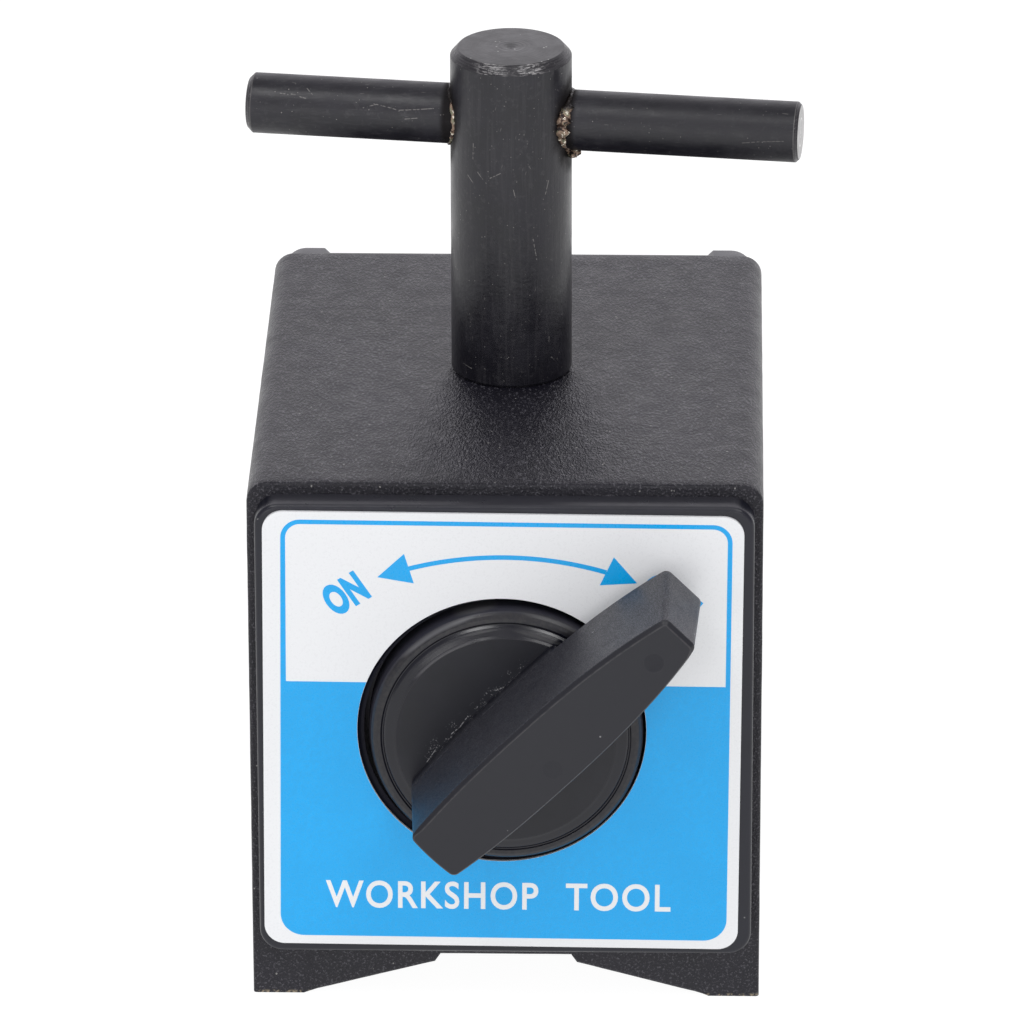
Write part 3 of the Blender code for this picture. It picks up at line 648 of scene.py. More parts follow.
def black_steel(name, along_bar=False):
    """Blackened round steel: drawn or turned lines, pale specks, scratches, soot at the braze, and painted
    shade on the bar's right half.
    """
    paint = Paint(name, Metallic=0.0, IOR=1.5)
    if along_bar:
        drawn = paint.noise(0.30 * MM, 3.0, 0.65, paint.stretched((0.06, 1, 1)))
        lines = [(on_bar(*start), on_bar(*end)) for start, end in BAR_SCRATCHES]
        turns, rough = ((0, 0, BAR_YAW), (0.2, 0.5, BAR_YAW)), (0.36, 0.50)
    else:
        drawn = paint.noise(0.35 * MM, 3.0, 0.6, paint.stretched((1, 1, 0.06)))
        lines = [(on_post(*start), on_post(*end)) for start, end in POST_SCRATCHES]
        turns, rough = ((0, pi / 2 + 0.25, 0), (0, pi / 2 - 0.5, 0.4)), (0.28, 0.40)
    clouds = paint.noise(3.5 * MM, 3.0, 0.6)
    colour = paint.mix(paint.remap(clouds, 0.35, 0.7), (0.0055, 0.0052, 0.0088), (0.0105, 0.0099, 0.0150))
    colour = paint.mix(paint.remap(drawn, 0.48, 0.72, 0.0, 0.6), colour, (0.023, 0.0220, 0.0265))
    blotches = paint.remap(paint.noise(0.7 * MM, 3.0, 0.7), 0.54, 0.70, 0.0, 0.6)
    colour = paint.mix(blotches, colour, (0.028, 0.0268, 0.031))
    marks = paint.dashes(0.5 * MM, 8, turns[0], 0.66) * 0.30
    finer = paint.dashes(0.3 * MM, 6, turns[1], 0.6) * 0.30
    pits = paint.specks(0.42 * MM, 0.38) * (0.75 if along_bar else 0.45)
    worn = paint.most(paint.most(marks, finer), pits)
    worn = paint.most(worn, paint.strokes(lines, 0.125 * MM) * 0.48)
    colour = paint.mix(worn * 0.55, colour, (0.50, 0.48, 0.45))
    if along_bar:
        place = paint.measure(BAR_LINE, BAR_CENTRE)
        # Painted shade: the bar's right half is painted darker, standing in for its dimmer reflection.
        colour = paint.mix(paint.remap(place, 4 * MM, 12 * MM, 0.0, 0.5), colour, (0.0040, 0.0038, 0.0065))
        for end in (BAR_CHAMFER_LEFT - BAR_LENGTH / 2, BAR_LENGTH / 2 - BAR_CHAMFER_RIGHT):
            away = abs(place - end)
            ring = paint.remap(away, 0.13 * MM, 0.04 * MM) * paint.remap(blotches, 0.6, 0.0, 0.45, 1.0)
            colour = paint.mix(ring, colour, (0.10, 0.097, 0.095))
    axis = (AXIS_X, AXIS_Y, BAR_Z)
    outward = abs(paint.measure(BAR_LINE, axis))
    level = paint.measure((0, 0, 1), axis) * 0.75
    around = paint.length(paint.measure((-BAR_LINE[1], BAR_LINE[0], 0), axis), level)
    spread = around + paint.noise(1.6 * MM, 3.0, 0.6) * (1.8 * MM)
    soot = paint.remap(spread, 5.4 * MM, 3.9 * MM) * paint.remap(outward, 3.8 * MM, 5.4 * MM)
    soot = soot * paint.remap(outward, 6.9 * MM, 6.2 * MM, 0.0, 0.65)
    colour = paint.mix(soot, colour, (0.0085, 0.0062, 0.0052))
    rough = paint.remap(clouds, 0.3, 0.7, *rough) + soot * 0.4
    paint.set(Metallic=soot)
    relief = paint.bump(drawn, 0.012 * MM)
    return paint.finish(colour, rough, paint.bump(paint.noise(0.45 * MM, 3.0, 0.6), 0.022 * MM, relief))


def turned_face(name, centre, direction, shade, bright):
    """Turned end of a round bar: the lathe's rings round its axis, stains and pale specks."""
    paint = Paint(name, Metallic=0.0, IOR=1.6)
    first = Vector(direction).orthogonal().normalized()
    second = Vector(direction).cross(first).normalized()
    radius = paint.length(paint.measure(tuple(first), centre), paint.measure(tuple(second), centre))
    rings = paint.sine(radius * (2 * pi / (0.42 * MM)))
    coarse = paint.sine(radius * (2 * pi / (1.15 * MM)))
    clouds = paint.noise(1.6 * MM, 3.0, 0.6)
    colour = paint.mix(paint.remap(clouds, 0.3, 0.7), shade, bright)
    paler = tuple(2.0 * c for c in bright)
    strength = paint.remap(radius, 2.4 * MM, 1.0 * MM, 0.12, 0.6)
    shown = paint.remap(rings + coarse, 0.2, 2.0) * strength
    colour = paint.mix(shown, colour, paler)
    pits = paint.specks(0.7 * MM, 0.36)
    colour = paint.mix(pits * 0.6, colour, (0.5, 0.5, 0.48))
    rough = paint.remap(clouds, 0.3, 0.7, 0.34, 0.46)
    relief = paint.bump(rings * strength, 0.010 * MM)
    relief = paint.bump(coarse * strength, 0.014 * MM, relief)
    return paint.finish(colour, rough, paint.bump(paint.noise(0.4 * MM, 2.0), 0.014 * MM, relief))


def edge_wear_and_highlight(name, centre, direction, patches=()):
    """Chamfer at an end: dark turned lines, a little wear all round, and front patches of pale streaks that
    are painted highlight where the lamps reflect.
    """
    paint = Paint(name, Metallic=0.0, IOR=1.5)
    height = paint.measure(direction, centre)
    ragged = paint.noise(0.35 * MM, 3.0, 0.65)
    lines = paint.noise(0.09 * MM, 2.0, 0.6, paint.stretched((0.06, 0.06, 1)))
    colour = paint.mix(paint.remap(lines, 0.45, 0.65), (0.012, 0.011, 0.014), (0.030, 0.028, 0.032))
    worn = paint.remap(ragged, 0.60, 0.70) * 0.25
    front = paint.remap(paint.axis("Y"), centre[1], centre[1] - 2 * MM)
    # Painted highlight: pale streaks only on the front side of the given patches, where the lamps'
    # reflections fall.
    for low, high in patches:
        x = paint.axis("X") - centre[0]
        front_highlight = paint.remap(x, low, low + 1.5 * MM) * paint.remap(x, high, high - 1.5 * MM)
        streaks = paint.remap(lines, 0.46, 0.60) * paint.remap(ragged, 0.36, 0.56)
        worn = paint.most(worn, front_highlight * front * streaks)
    colour = paint.mix(worn * 0.8, colour, (0.40, 0.39, 0.39))
    groove = paint.sine(height * (2 * pi / (0.2 * MM)))
    rough = paint.remap(ragged, 0.3, 0.7, 0.30, 0.44)
    return paint.finish(colour, rough, paint.bump(groove, 0.008 * MM, paint.bump(ragged, 0.02 * MM)))


def bare_steel(name="bare_steel"):
    """Sawn or turned steel without a coat."""
    paint = Paint(name, Metallic=1.0)
    grain = paint.noise(0.25 * MM, 3.0, 0.65, distortion=1.0)
    clouds = paint.noise(1.5 * MM, 3.0)
    colour = paint.mix(grain, (0.42, 0.41, 0.39), (0.62, 0.61, 0.58))
    colour = paint.mix(paint.remap(clouds, 0.5, 0.75, 0.0, 0.6), colour, (0.22, 0.21, 0.20))
    rough = paint.remap(grain, 0.3, 0.7, 0.30, 0.46)
    return paint.finish(colour, rough, paint.bump(grain, 0.012 * MM))


def braze_metal():
    """Lumpy braze: painted pale gold glints, tan patches and painted shade between the lumps, with brown
    flux, and soot at its top.
    """
    paint = Paint("braze_metal", Metallic=0.45)
    lumps = paint.noise(0.60 * MM, 3.0, 0.55)
    patches = paint.noise(1.0 * MM, 2.0, 0.6, distortion=0.8)
    colour = paint.mix(paint.remap(patches, 0.42, 0.50), (0.060, 0.034, 0.024), (0.27, 0.190, 0.138))
    colour = paint.mix(paint.remap(patches, 0.56, 0.60), colour, (0.21, 0.20, 0.135))
    # Painted highlight: near-white glints on the lumps' tops; painted shade: near-black in the hollows
    # between the lumps.
    colour = paint.mix(paint.remap(lumps, 0.59, 0.62), colour, (0.95, 0.88, 0.74))
    colour = paint.mix(paint.remap(lumps, 0.45, 0.39), colour, (0.016, 0.011, 0.010))
    top = paint.axis("Z") + lumps * (1.2 * MM)
    colour = paint.mix(paint.remap(top, BAR_Z + 2.3 * MM, BAR_Z + 2.9 * MM), colour, (0.012, 0.009, 0.008))
    rough = paint.remap(patches, 0.35, 0.65, 0.20, 0.50)
    return paint.finish(colour, rough, paint.bump(lumps, 0.16 * MM))


def machined_brass():
    paint = Paint("machined_brass", Metallic=1.0)
    lines = paint.noise(0.3 * MM, 3.0, 0.6, paint.stretched((1, 0.08, 1)))
    tarnish = paint.noise(4 * MM, 3.0)
    colour = paint.mix(lines, (0.52, 0.38, 0.15), (0.72, 0.56, 0.27))
    colour = paint.mix(paint.remap(tarnish, 0.5, 0.8, 0.0, 0.6), colour, (0.26, 0.18, 0.08))
    rough = paint.remap(lines, 0.3, 0.7, 0.26, 0.42)
    return paint.finish(colour, rough, paint.bump(lines, 0.010 * MM))


def sintered_magnet():
    paint = Paint("sintered_magnet", Metallic=0.6)
    grain = paint.noise(0.4 * MM, 4.0, 0.7)
    colour = paint.mix(grain, (0.07, 0.065, 0.065), (0.20, 0.19, 0.19))
    rough = paint.remap(grain, 0.3, 0.7, 0.45, 0.65)
    return paint.finish(colour, rough, paint.bump(grain, 0.05 * MM))


def pale_floor():
    """White acrylic, lit from below as a light table is."""
    paint = Paint("pale_floor", Metallic=0.0, Roughness=0.9)
    speckle = paint.noise(60 * MM, 2.0)
    paint.set(Base_Color=paint.mix(speckle, (0.11, 0.11, 0.11), (0.13, 0.13, 0.13)))
    paint.set(Emission_Color=(1.0, 1.0, 1.0), Emission_Strength=0.96)
    return paint.material


# ---------------------------------------------------------------- steel body

def wave(point):
    """Slight unevenness of the coat: the same shift for equal places on neighbouring pieces."""
    broad = noise.noise_vector(Vector(point) / (3.1 * MM))
    fine = noise.noise_vector(Vector(point) / (0.9 * MM))
    return (broad + fine * 0.6) * COAT_WAVE * 0.6


def body_piece(name, outline, paint, replaced, fixed_x=()):
    """Extrude part of the steel body, with soft rims and the coat's unevenness."""
    points = divided(outline, GRID)
    front, rear = BLOCK_LOW.y, BLOCK_HIGH.y
    depth = rear - front
    rim = FACE_EDGE_RADIUS
    levels = [(front + rim * (1 - cos(pi / 2 * k / 3)), rim * (1 - sin(pi / 2 * k / 3))) for k in range(4)]
    count = round((depth - 2 * rim) / GRID)
    levels += [(front + rim + (depth - 2 * rim) * k / count, 0.0) for k in range(1, count)]
    levels += [(rear - y + front, d) for y, d in reversed(levels[:4])]
    rings = []
    for y, d in levels:
        ring = []
        for (x, z), (inner_x, inner_z) in zip(points, inset(points, d)):
            at_seam = min(abs(x - seam) for seam in fixed_x) < 0.01 * MM
            here = Vector((x if at_seam else inner_x, y, inner_z))
            shifted = here + wave(here)
            if at_seam:
                shifted.x = x
            if abs(x - AXIS_X) > 22.5 * MM:
                shifted.x += COAT_THICKNESS if x > AXIS_X else -COAT_THICKNESS
            if z > 50 * MM:
                shifted.z += COAT_THICKNESS
            shifted.y = min(max(shifted.y, front), rear)
            shifted.z = max(shifted.z, BLOCK_LOW.z) if z > 0.01 * MM else BLOCK_LOW.z
            ring.append(tuple(shifted))
        rings.append(ring)
    return make_piece(name, loft(rings), paint, "base", replaced, smooth=40)


def pole_outline(side):
    outer = (BLOCK_HIGH.x - BLOCK_LOW.x) / 2
    top = BLOCK_HIGH.z
    reach = acos(SEAM_X / BORE_RADIUS)
    corners = [(FOOT_INNER_X, 0), (outer, 0), (outer, top), (SEAM_X, top)]
    outline = rounded(corners, [0, 0, TOP_EDGE_RADIUS, 0], closed=False, steps=8)
    outline += arc((0, KNOB_Z), BORE_RADIUS, reach, -reach, 30)
    outline += [(SEAM_X, SLOT_ROOF_Z), VEE_TOP]
    outline = [(AXIS_X + side * x, z) for x, z in outline]
    return outline if side > 0 else list(reversed(outline))


def bridge_outline(top):
    reach = acos(SEAM_X / BORE_RADIUS)
    if top:
        outline = arc((0, KNOB_Z), BORE_RADIUS, pi - reach, reach, 12)
        outline += [(SEAM_X, BLOCK_HIGH.z), (-SEAM_X, BLOCK_HIGH.z)]
    else:
        outline = [(-SEAM_X, SLOT_ROOF_Z), (SEAM_X, SLOT_ROOF_Z)]
        outline += arc((0, KNOB_Z), BORE_RADIUS, -reach, reach - pi, 12)
    return [(AXIS_X + x, z) for x, z in outline]


def paint_ground_faces(piece, index):
    """The faces that lie on the surface below have no coat."""
    for face in piece.data.polygons:
        if face.normal.z < -0.9 and face.center.z < 0.05 * MM:
            face.material_index = index


def build_body(coat, bare):
    seams = (AXIS_X - SEAM_X, AXIS_X + SEAM_X)
    for name, side in (("left_pole_block", -1), ("right_pole_block", 1)):
        pole = body_piece(name.replace("block", "body"), pole_outline(side), [coat, bare], [name], seams)
        paint_ground_faces(pole, 1)
    bridge = body_piece("top_bridge", bridge_outline(True), coat, ["top_spacer"], seams)
    seat = BLOCK_HIGH.z - 1.6 * MM
    hole = [(0, BLOCK_HIGH.z + MM), (WASHER_SEAT_RADIUS, BLOCK_HIGH.z + MM), (WASHER_SEAT_RADIUS, seat)]
    hole += [(STUD_HOLE_RADIUS + 0.5 * MM, seat), (STUD_HOLE_RADIUS, seat - 0.5 * MM)]
    hole += [(STUD_HOLE_RADIUS, STUD_LOW.z - 0.3 * MM), (0, STUD_LOW.z - 0.3 * MM)]
    combine(bridge, turned(hole, 64, "Z", (AXIS_X, AXIS_Y)), smooth=40)
    body_piece("slot_bridge", bridge_outline(False), coat, ["bottom_spacer"], seams)


# ---------------------------------------------------------------- covers and label

def build_front_cover(plastic):
    corners = rectangle(COVER_LOW.x, COVER_HIGH.x, COVER_LOW.z, COVER_HIGH.z)
    outline = rounded(corners, [COVER_CORNER] * 4, steps=10)
    plate = slab(outline, COVER_LOW.y, BLOCK_LOW.y, front_round=0.45 * MM)
    cover = make_piece("front_cover_moulding", plate, plastic, "base", ["front_cover"])
    mouth = WELL_RADIUS + 0.70 * MM
    well = [(0, COVER_LOW.y - MM), (mouth, COVER_LOW.y - MM), (mouth, COVER_LOW.y)]
    well += [(WELL_RADIUS, COVER_LOW.y + 0.8 * MM), (WELL_RADIUS, BLOCK_LOW.y + MM), (0, BLOCK_LOW.y + MM)]
    combine(cover, turned(well, 160, "Y", (AXIS_X, KNOB_Z)))


def middle(low, high):
    """Middle of a box, seen from the front."""
    return ((low.x + high.x) / 2, (low.z + high.z) / 2)


def build_rear_cover(plastic):
    """Rear moulding: a relief between two corner lugs, and a countersink for each screw."""
    corners = rectangle(REAR_LOW.x, REAR_HIGH.x, REAR_LOW.z, REAR_HIGH.z)
    outline = rounded(corners, [COVER_CORNER] * 4, steps=10)
    plate = slab(outline, BLOCK_HIGH.y, REAR_HIGH.y, back_round=0.15 * MM)
    cover = make_piece("rear_cover_moulding", plate, plastic, "base", ["rear_cover"])
    half, slope, drop = 19.5 * MM, 0.7 * MM, 0.6 * MM
    top = REAR_HIGH.z
    over = top + 0.1 * MM
    relief = [(-half, top - drop), (half, top - drop), (half + slope, over), (-half - slope, over)]
    relief = [(AXIS_X + x, z) for x, z in relief]
    combine(cover, slab(relief, BLOCK_HIGH.y - MM, REAR_HIGH.y + MM))
    for number in range(1, 5):
        centre = middle(*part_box(f"rear_cover_screw_{number}"))
        cone = [(0, REAR_HIGH.y + MM), (3.1 * MM, REAR_HIGH.y + MM), (3.1 * MM, REAR_HIGH.y)]
        cone += [(1.8 * MM, REAR_HIGH.y - 1.3 * MM), (1.8 * MM, BLOCK_HIGH.y - MM), (0, BLOCK_HIGH.y - MM)]
        combine(cover, turned(cone, 40, "Y", centre))


def build_rear_screws(steel):
    """Countersunk screws with a cross recess."""
    for number in range(1, 5):
        node = f"rear_cover_screw_{number}"
        low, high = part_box(node)
        centre = middle(low, high)
        face = high.y
        profile = [(0, face), (2.35 * MM, face), (2.5 * MM, face - 0.12 * MM), (1.5 * MM, face - 1.1 * MM)]
        profile += [(1.5 * MM, low.y + 0.4 * MM), (1.1 * MM, low.y), (0, low.y)]
        shape = turned(profile, 40, "Y", centre)
        screw = make_piece(f"cross_head_screw_{number}", shape, steel, "base", [node])
        for quarter in (0, 1):
            arm = slab(rectangle(-1.45 * MM, 1.45 * MM, -0.28 * MM, 0.28 * MM), face - 0.75 * MM, face + MM)
            spin = Matrix.Rotation(pi / 2 * quarter + 0.4 * number, 4, "Y")
            combine(screw, move(arm, Matrix.Translation((centre[0], 0, centre[1])) @ spin))


def on_label(shape):
    """Carry a shape drawn about the well's centre onto the slightly tilted label."""
    place = Matrix.Translation((AXIS_X, 0, KNOB_Z))
    return move(shape, place @ Matrix.Rotation(-LABEL_TILT, 4, "Y"))


def ink(name, shape, paint):
    return make_piece(name, on_label(shape), paint, "base", smooth=30)


def ink_depth(layer=1):
    """Front and back of a printed layer: it stands very slightly proud of the film."""
    return LABEL_LOW.y - PRINT_HEIGHT * layer, LABEL_LOW.y + 0.05 * MM


def round_hole(radius):
    """Cutter for the hole that the label has round the knob's well."""
    return turned([(0, -1), (radius, -1), (radius, 1), (0, 1)], 160, "Y", LABEL_HOLE)


def build_label(white, blue):
    left, right = LABEL_LOW.x - AXIS_X, LABEL_HIGH.x - AXIS_X
    low, high = LABEL_LOW.z - KNOB_Z, LABEL_HIGH.z - KNOB_Z
    outline = rounded(rectangle(left, right, low, high), [2.0 * MM] * 4, steps=12)
    film = on_label(slab(outline, LABEL_LOW.y, COVER_LOW.y))
    label = make_piece("label_film", film, white, "base", ["label_plate"])
    combine(label, round_hole(LABEL_HOLE_RADIUS))
    build_blue_field(blue)
    build_arrow(blue)
    build_words(blue, white)


def build_blue_field(blue):
    """Blue lower field, with a line that runs on round the white upper field."""
    near, far = ink_depth()
    left, right = -21.77 * MM, 21.93 * MM
    low, high, split = 7.71 * MM - KNOB_Z, 52.37 * MM - KNOB_Z, 35.2 * MM - KNOB_Z
    line, spread = 0.46 * MM, 0.2 * MM
    corners = [(right, low), (right, high), (left, high), (left - spread, low)]
    outer = rounded(corners, [2.3 * MM, 1.9 * MM, 1.9 * MM, 2.3 * MM], steps=12)
    field = ink("label_blue_field", slab(outer, near, far), blue)
    inner = rectangle(left + line, right - line, split, high - line)
    inner = rounded(inner, [0, 1.45 * MM, 1.45 * MM, 0], steps=10)
    combine(field, on_label(slab(inner, near - MM, far + MM)))
    combine(field, round_hole(LABEL_HOLE_RADIUS + 0.02 * MM))


def build_arrow(blue):
    """Double-headed arrow, on an arc above the knob."""
    near, far = ink_depth()
    radius, thickness = 34.0 * MM, 0.48 * MM
    top = 48.66 * MM - KNOB_Z
    centre = (0.0, top - radius)
    spread = asin(9.75 * MM / radius)
    outside = arc(centre, radius + thickness / 2, pi / 2 - spread, pi / 2 + spread, 28)
    inside = arc(centre, radius - thickness / 2, pi / 2 + spread, pi / 2 - spread, 28)
    ink("label_arrow_shaft", slab(outside + inside, near, far), blue)
    heads = {
        "left": [(-12.40, 46.40), (-8.86, 45.80), (-9.82, 48.90)],
        "right": [(12.75, 46.12), (10.48, 48.84), (9.14, 45.86)],
    }
    for side, points in heads.items():
        outline = [(x * MM, z * MM - KNOB_Z) for x, z in points]
        ink(f"label_arrow_head_{side}", slab(outline, near - 0.001 * MM, far), blue)


def letter_solid(words, near, far, spacing, weight):
    """Raised letters in the XZ plane, as a closed solid with its lower left corner at 0, 0."""
    curve = bpy.data.curves.new("letters", "FONT")
    curve.body = words
    curve.size = 1.0
    curve.offset = weight
    curve.space_character = spacing
    curve.extrude = 0.5
    curve.resolution_u = 6
    holder = bpy.data.objects.new("letters", curve)
    bpy.context.scene.collection.objects.link(holder)
    bpy.context.view_layer.update()
    graph = bpy.context.evaluated_depsgraph_get()
    mesh = bpy.data.meshes.new_from_object(holder.evaluated_get(graph))
    bpy.data.objects.remove(holder, do_unlink=True)
    shape = bmesh.new()
    shape.from_mesh(mesh)
    bmesh.ops.remove_doubles(shape, verts=shape.verts, dist=1e-5)
    across, up = [v.co.x for v in shape.verts], [v.co.y for v in shape.verts]
    low_x, high_x, low_y, high_y = min(across), max(across), min(up), max(up)
    for vert in shape.verts:
        u = (vert.co.x - low_x) / (high_x - low_x)
        w = (vert.co.y - low_y) / (high_y - low_y)
        vert.co = (u, near if vert.co.z > 0 else far, w)
    return shape


def words_at(name, words, corner, width, height, paint, turn=0.0, layer=1, spacing=1.1, weight=0.0):
    """Printed words: a lower left corner, width and height in millimetres, and a turn in degrees."""
    near, far = ink_depth(layer)
    shape = letter_solid(words, near, far, spacing, weight)
    place = Matrix.Translation((corner[0] * MM, 0, corner[1] * MM - KNOB_Z))
    place = place @ Matrix.Rotation(-radians(turn), 4, "Y")
    move(shape, place @ Matrix.Diagonal((width * MM, 1, height * MM, 1)))
    ink(name, shape, paint)


def build_words(blue, white):
    """The two generic setting words beside the arrow, and a generic line of capitals below."""
    words_at("label_word_on", "ON", (-16.35, 42.0), 4.15, 3.4, blue, turn=33.5, weight=0.055)
    words_at("label_word_off", "OFF", (12.55, 44.86), 5.77, 3.42, blue, turn=-36.7, weight=0.045)
    line = {"layer": 2, "spacing": 1.12, "weight": 0.016}
    words_at("label_caption_first", "WORKSHOP", (-17.5, 10.8), 20.9, 3.0, white, **line)
    words_at("label_caption_second", "TOOL", (6.1, 10.8), 10.3, 3.0, white, **line)


# ---------------------------------------------------------------- knob

def grip_half_width(s, flare=0.0):
    """Half width of the grip at distance s from the axis: widest near the middle."""
    widest, half, tip, tip_half = 4.5 * MM, 3.72 * MM, GRIP_TIP, 2.08 * MM
    fall = (half - tip_half) / (tip - widest) ** 2.5
    return half - fall * abs(s - widest) ** 2.5 + flare


def grip_outline(tail, tip, flare=0.0, corner=0.7 * MM, steps=26):
    """Outline along +X, with a tail edge that bulges a little."""
    places = [tail + (tip - tail) * i / steps for i in range(steps + 1)]
    lower = [(s, -grip_half_width(s, flare)) for s in places]
    upper = [(s, -w) for s, w in reversed(lower)]
    end = grip_half_width(tail, flare)
    bulge = [(tail - TAIL_BULGE * (1 - t * t), -t * end) for t in (-0.6, -0.3, 0.0, 0.3, 0.6)]
    points = lower + upper + bulge
    radii = [0.0] * len(points)
    for i in (0, steps, steps + 1, 2 * steps + 1):
        radii[i] = corner
    return rounded(points, radii, steps=5)


def flared_outline(t, tip=None):
    """The grip's outline at depth t: 0 is its front, and 1 its back, where the draft ends."""
    flare = GRIP_DRAFT * t
    end = tip or GRIP_TIP + TIP_DRAFT * t
    return grip_outline(GRIP_TAIL - 0.5 * flare, end, flare)


def grip_solid():
    """Tapered grip with a draft. Its front edge is broken more on the upper side and the tip."""
    front = GRIP_FRONT_Y
    edge = 0.42 * MM
    section = [(edge + MM, 0), (edge, 0), (0, edge), (0, edge + MM)]
    section = rounded(section, [0, 0.26 * MM, 0.26 * MM, 0], closed=False, steps=4)
    outline = flared_outline(0)
    inner = inset(outline, 1.0 * MM)
    rings = []
    for depth_in, depth in section[1:-1]:
        ring = []
        for (x, z), (inner_x, inner_z) in zip(outline, inner):
            upper = max(0.5 + z / (1.6 * MM), (x - GRIP_TIP) / (1.2 * MM) + 1.2)
            upper = min(upper, (x - GRIP_TAIL) / (1.5 * MM))
            share = 0.35 + 0.65 * min(1.0, max(0.0, upper))
            k = share * depth_in / MM
            ring.append((x + (inner_x - x) * k, front + depth * share, z + (inner_z - z) * k))
        rings.append(ring)
    start = front + edge + 0.3 * MM
    for k in range(5):
        t = k / 4
        rings.append([(x, start + (OVERHANG_Y - start) * t, z) for x, z in flared_outline(t)])
    return loft(rings)


def grip_root():
    """The grip's foot, which runs down onto the disc."""
    return slab(flared_outline(1, 10.5 * MM), OVERHANG_Y - 0.4 * MM, DISC_FACE_Y + 0.3 * MM)


# The disc's rim: radius, and height above the rim's foot, in millimetres
RIM_PROFILE = ((13.40, 0.0), (13.34, 0.80), (13.19, 1.28), (12.95, 1.58), (12.62, 1.76), (12.24, 1.84))
# The disc's sloped shoulder: radius, depth behind the face, and corner radius, in millimetres
SHOULDER_PROFILE = ((11.76, 0.38, 0.25), (11.45, 0.265, 0.6), (11.02, 0.12, 0.3), (10.76, 0.0, 0.25))


def disc_profile():
    """Half section of the disc: hidden skirt, rounded rim, fine groove, sloped shoulder, face."""
    back = CAP_FACE_Y - 0.3 * MM
    lip = back - 0.75 * MM
    points = [(0, back), (SKIRT_RADIUS, back), (SKIRT_RADIUS, back - 0.6 * MM), (DISC_RADIUS, lip)]
    radii = [0, 0.1 * MM, 0.2 * MM, 0.1 * MM]
    for radius, height in RIM_PROFILE:
        points.append((radius * MM, DISC_FACE_Y + 2.35 * MM - height * MM))
        radii.append(0.12 * MM if height else 0.3 * MM)
    groove = DISC_FACE_Y + 0.62 * MM
    points += [(12.10 * MM, groove), (12.00 * MM, groove)]
    radii += [0.04 * MM, 0.03 * MM]
    for radius, height, soft in SHOULDER_PROFILE:
        points.append((radius * MM, DISC_FACE_Y + height * MM))
        radii.append(soft * MM)
    points.append((0, DISC_FACE_Y))
    radii.append(0)
    return rounded(points, radii, closed=False, steps=6)


def build_knob(plastic):
    turn = Matrix.Rotation(-POINTER_ANGLE, 4, "Y")
    disc_place = Matrix.Translation((KNOB_X, 0, KNOB_Z)) @ turn
    grip_place = Matrix.Translation((KNOB_X + GRIP_SHIFT, 0, KNOB_Z)) @ turn
    knob = make_piece("switch_knob", move(grip_solid(), grip_place), plastic, "rotor", ["knob"], smooth=50)
    combine(knob, move(grip_root(), grip_place), "UNION", 50)
    combine(knob, move(turned(disc_profile(), 160, "Y"), disc_place), "UNION", 50)


# ---------------------------------------------------------------- handle

def build_post(steel, face, edge):
    top, foot = POST_HIGH.z, BLOCK_HIGH.z + COAT_THICKNESS
    points = [
        (0, foot), (POST_RADIUS - 0.18 * MM, foot), (POST_RADIUS, foot + 0.30 * MM),
        (POST_RADIUS, top - 0.85 * MM), (POST_RADIUS - 0.75 * MM, top),
        (0.75 * MM, top), (0, top - 0.25 * MM),
    ]
    radii = [0, 0.05 * MM, 0.1 * MM, 0.15 * MM, 0.12 * MM, 0.1 * MM, 0]
    profile = rounded(points, radii, closed=False, steps=4)
    shape = turned(profile, 128, "Z", (AXIS_X, AXIS_Y))
    post = make_piece("post_bar", shape, [steel, face, edge], "handle", ["post"], smooth=30)
    for part in post.data.polygons:
        if part.center.z > top - 0.3 * MM and part.normal.z > 0.9:
            part.material_index = 1
        elif part.center.z > top - 0.9 * MM:
            part.material_index = 2


def bar_frame():
    """Carries a shape drawn along +X about the origin onto the cross bar's axis."""
    return Matrix.Translation(BAR_CENTRE) @ Matrix.Rotation(BAR_YAW, 4, "Z")


def build_bar(steel, face, edge):
    end, left, right = BAR_LENGTH / 2, BAR_CHAMFER_LEFT, BAR_CHAMFER_RIGHT
    points = [(0, -end), (BAR_RADIUS - left, -end), (BAR_RADIUS, left - end)]
    points += [(BAR_RADIUS, end - right), (BAR_RADIUS - right, end), (0, end)]
    radii = [0, 0.12 * MM, 0.15 * MM, 0.1 * MM, 0.06 * MM, 0]
    shape = turned(rounded(points, radii, closed=False, steps=4), 96, "Y")
    move(shape, bar_frame() @ Matrix.Rotation(-pi / 2, 4, "Z"))
    bar = make_piece("grip_bar", shape, [steel, face, edge], "handle", ["cross_bar"], smooth=30)
    along = Vector(BAR_LINE)
    for part in bar.data.polygons:
        facing = abs(part.normal.dot(along))
        if facing > 0.95:
            part.material_index = 1
        elif facing > 0.2:
            part.material_index = 2


def braze_bead(name, side, thin, swell, metal, seed):
    """Uneven bead along the line where the bar enters the post, thickest at the front."""
    steps, around = 84, 12
    centre = Vector((AXIS_X, AXIS_Y, BAR_Z))
    along = Vector(BAR_LINE)
    across = Vector((-along.y, along.x, 0))
    rings = []
    for i in range(steps):
        a = 2 * pi * i / steps
        u = sqrt(POST_RADIUS ** 2 - (BAR_RADIUS * cos(a)) ** 2)
        radial = across * cos(a) + Vector((0, 0, sin(a)))
        point = centre + along * u * side + radial * BAR_RADIUS
        outward = along * side
        thickness = thin + swell * exp(-((a - radians(164)) / radians(40)) ** 2)
        lump = 0.6 + 1.1 * abs(noise.noise(point / (0.9 * MM) + Vector((seed, 0, 0))))
        ring = []
        for k in range(around):
            b = 2 * pi * k / around
            spot = point + (radial * cos(b) * 0.75 + outward * (sin(b) * 1.15 + 0.5)) * thickness * lump
            spot += noise.noise_vector(spot / (0.4 * MM) + Vector((0, seed, 0))) * thickness * 0.45
            ring.append(tuple(spot))
        rings.append(ring)
    make_piece(name, loft(rings, closed=True), metal, "handle", smooth=80)


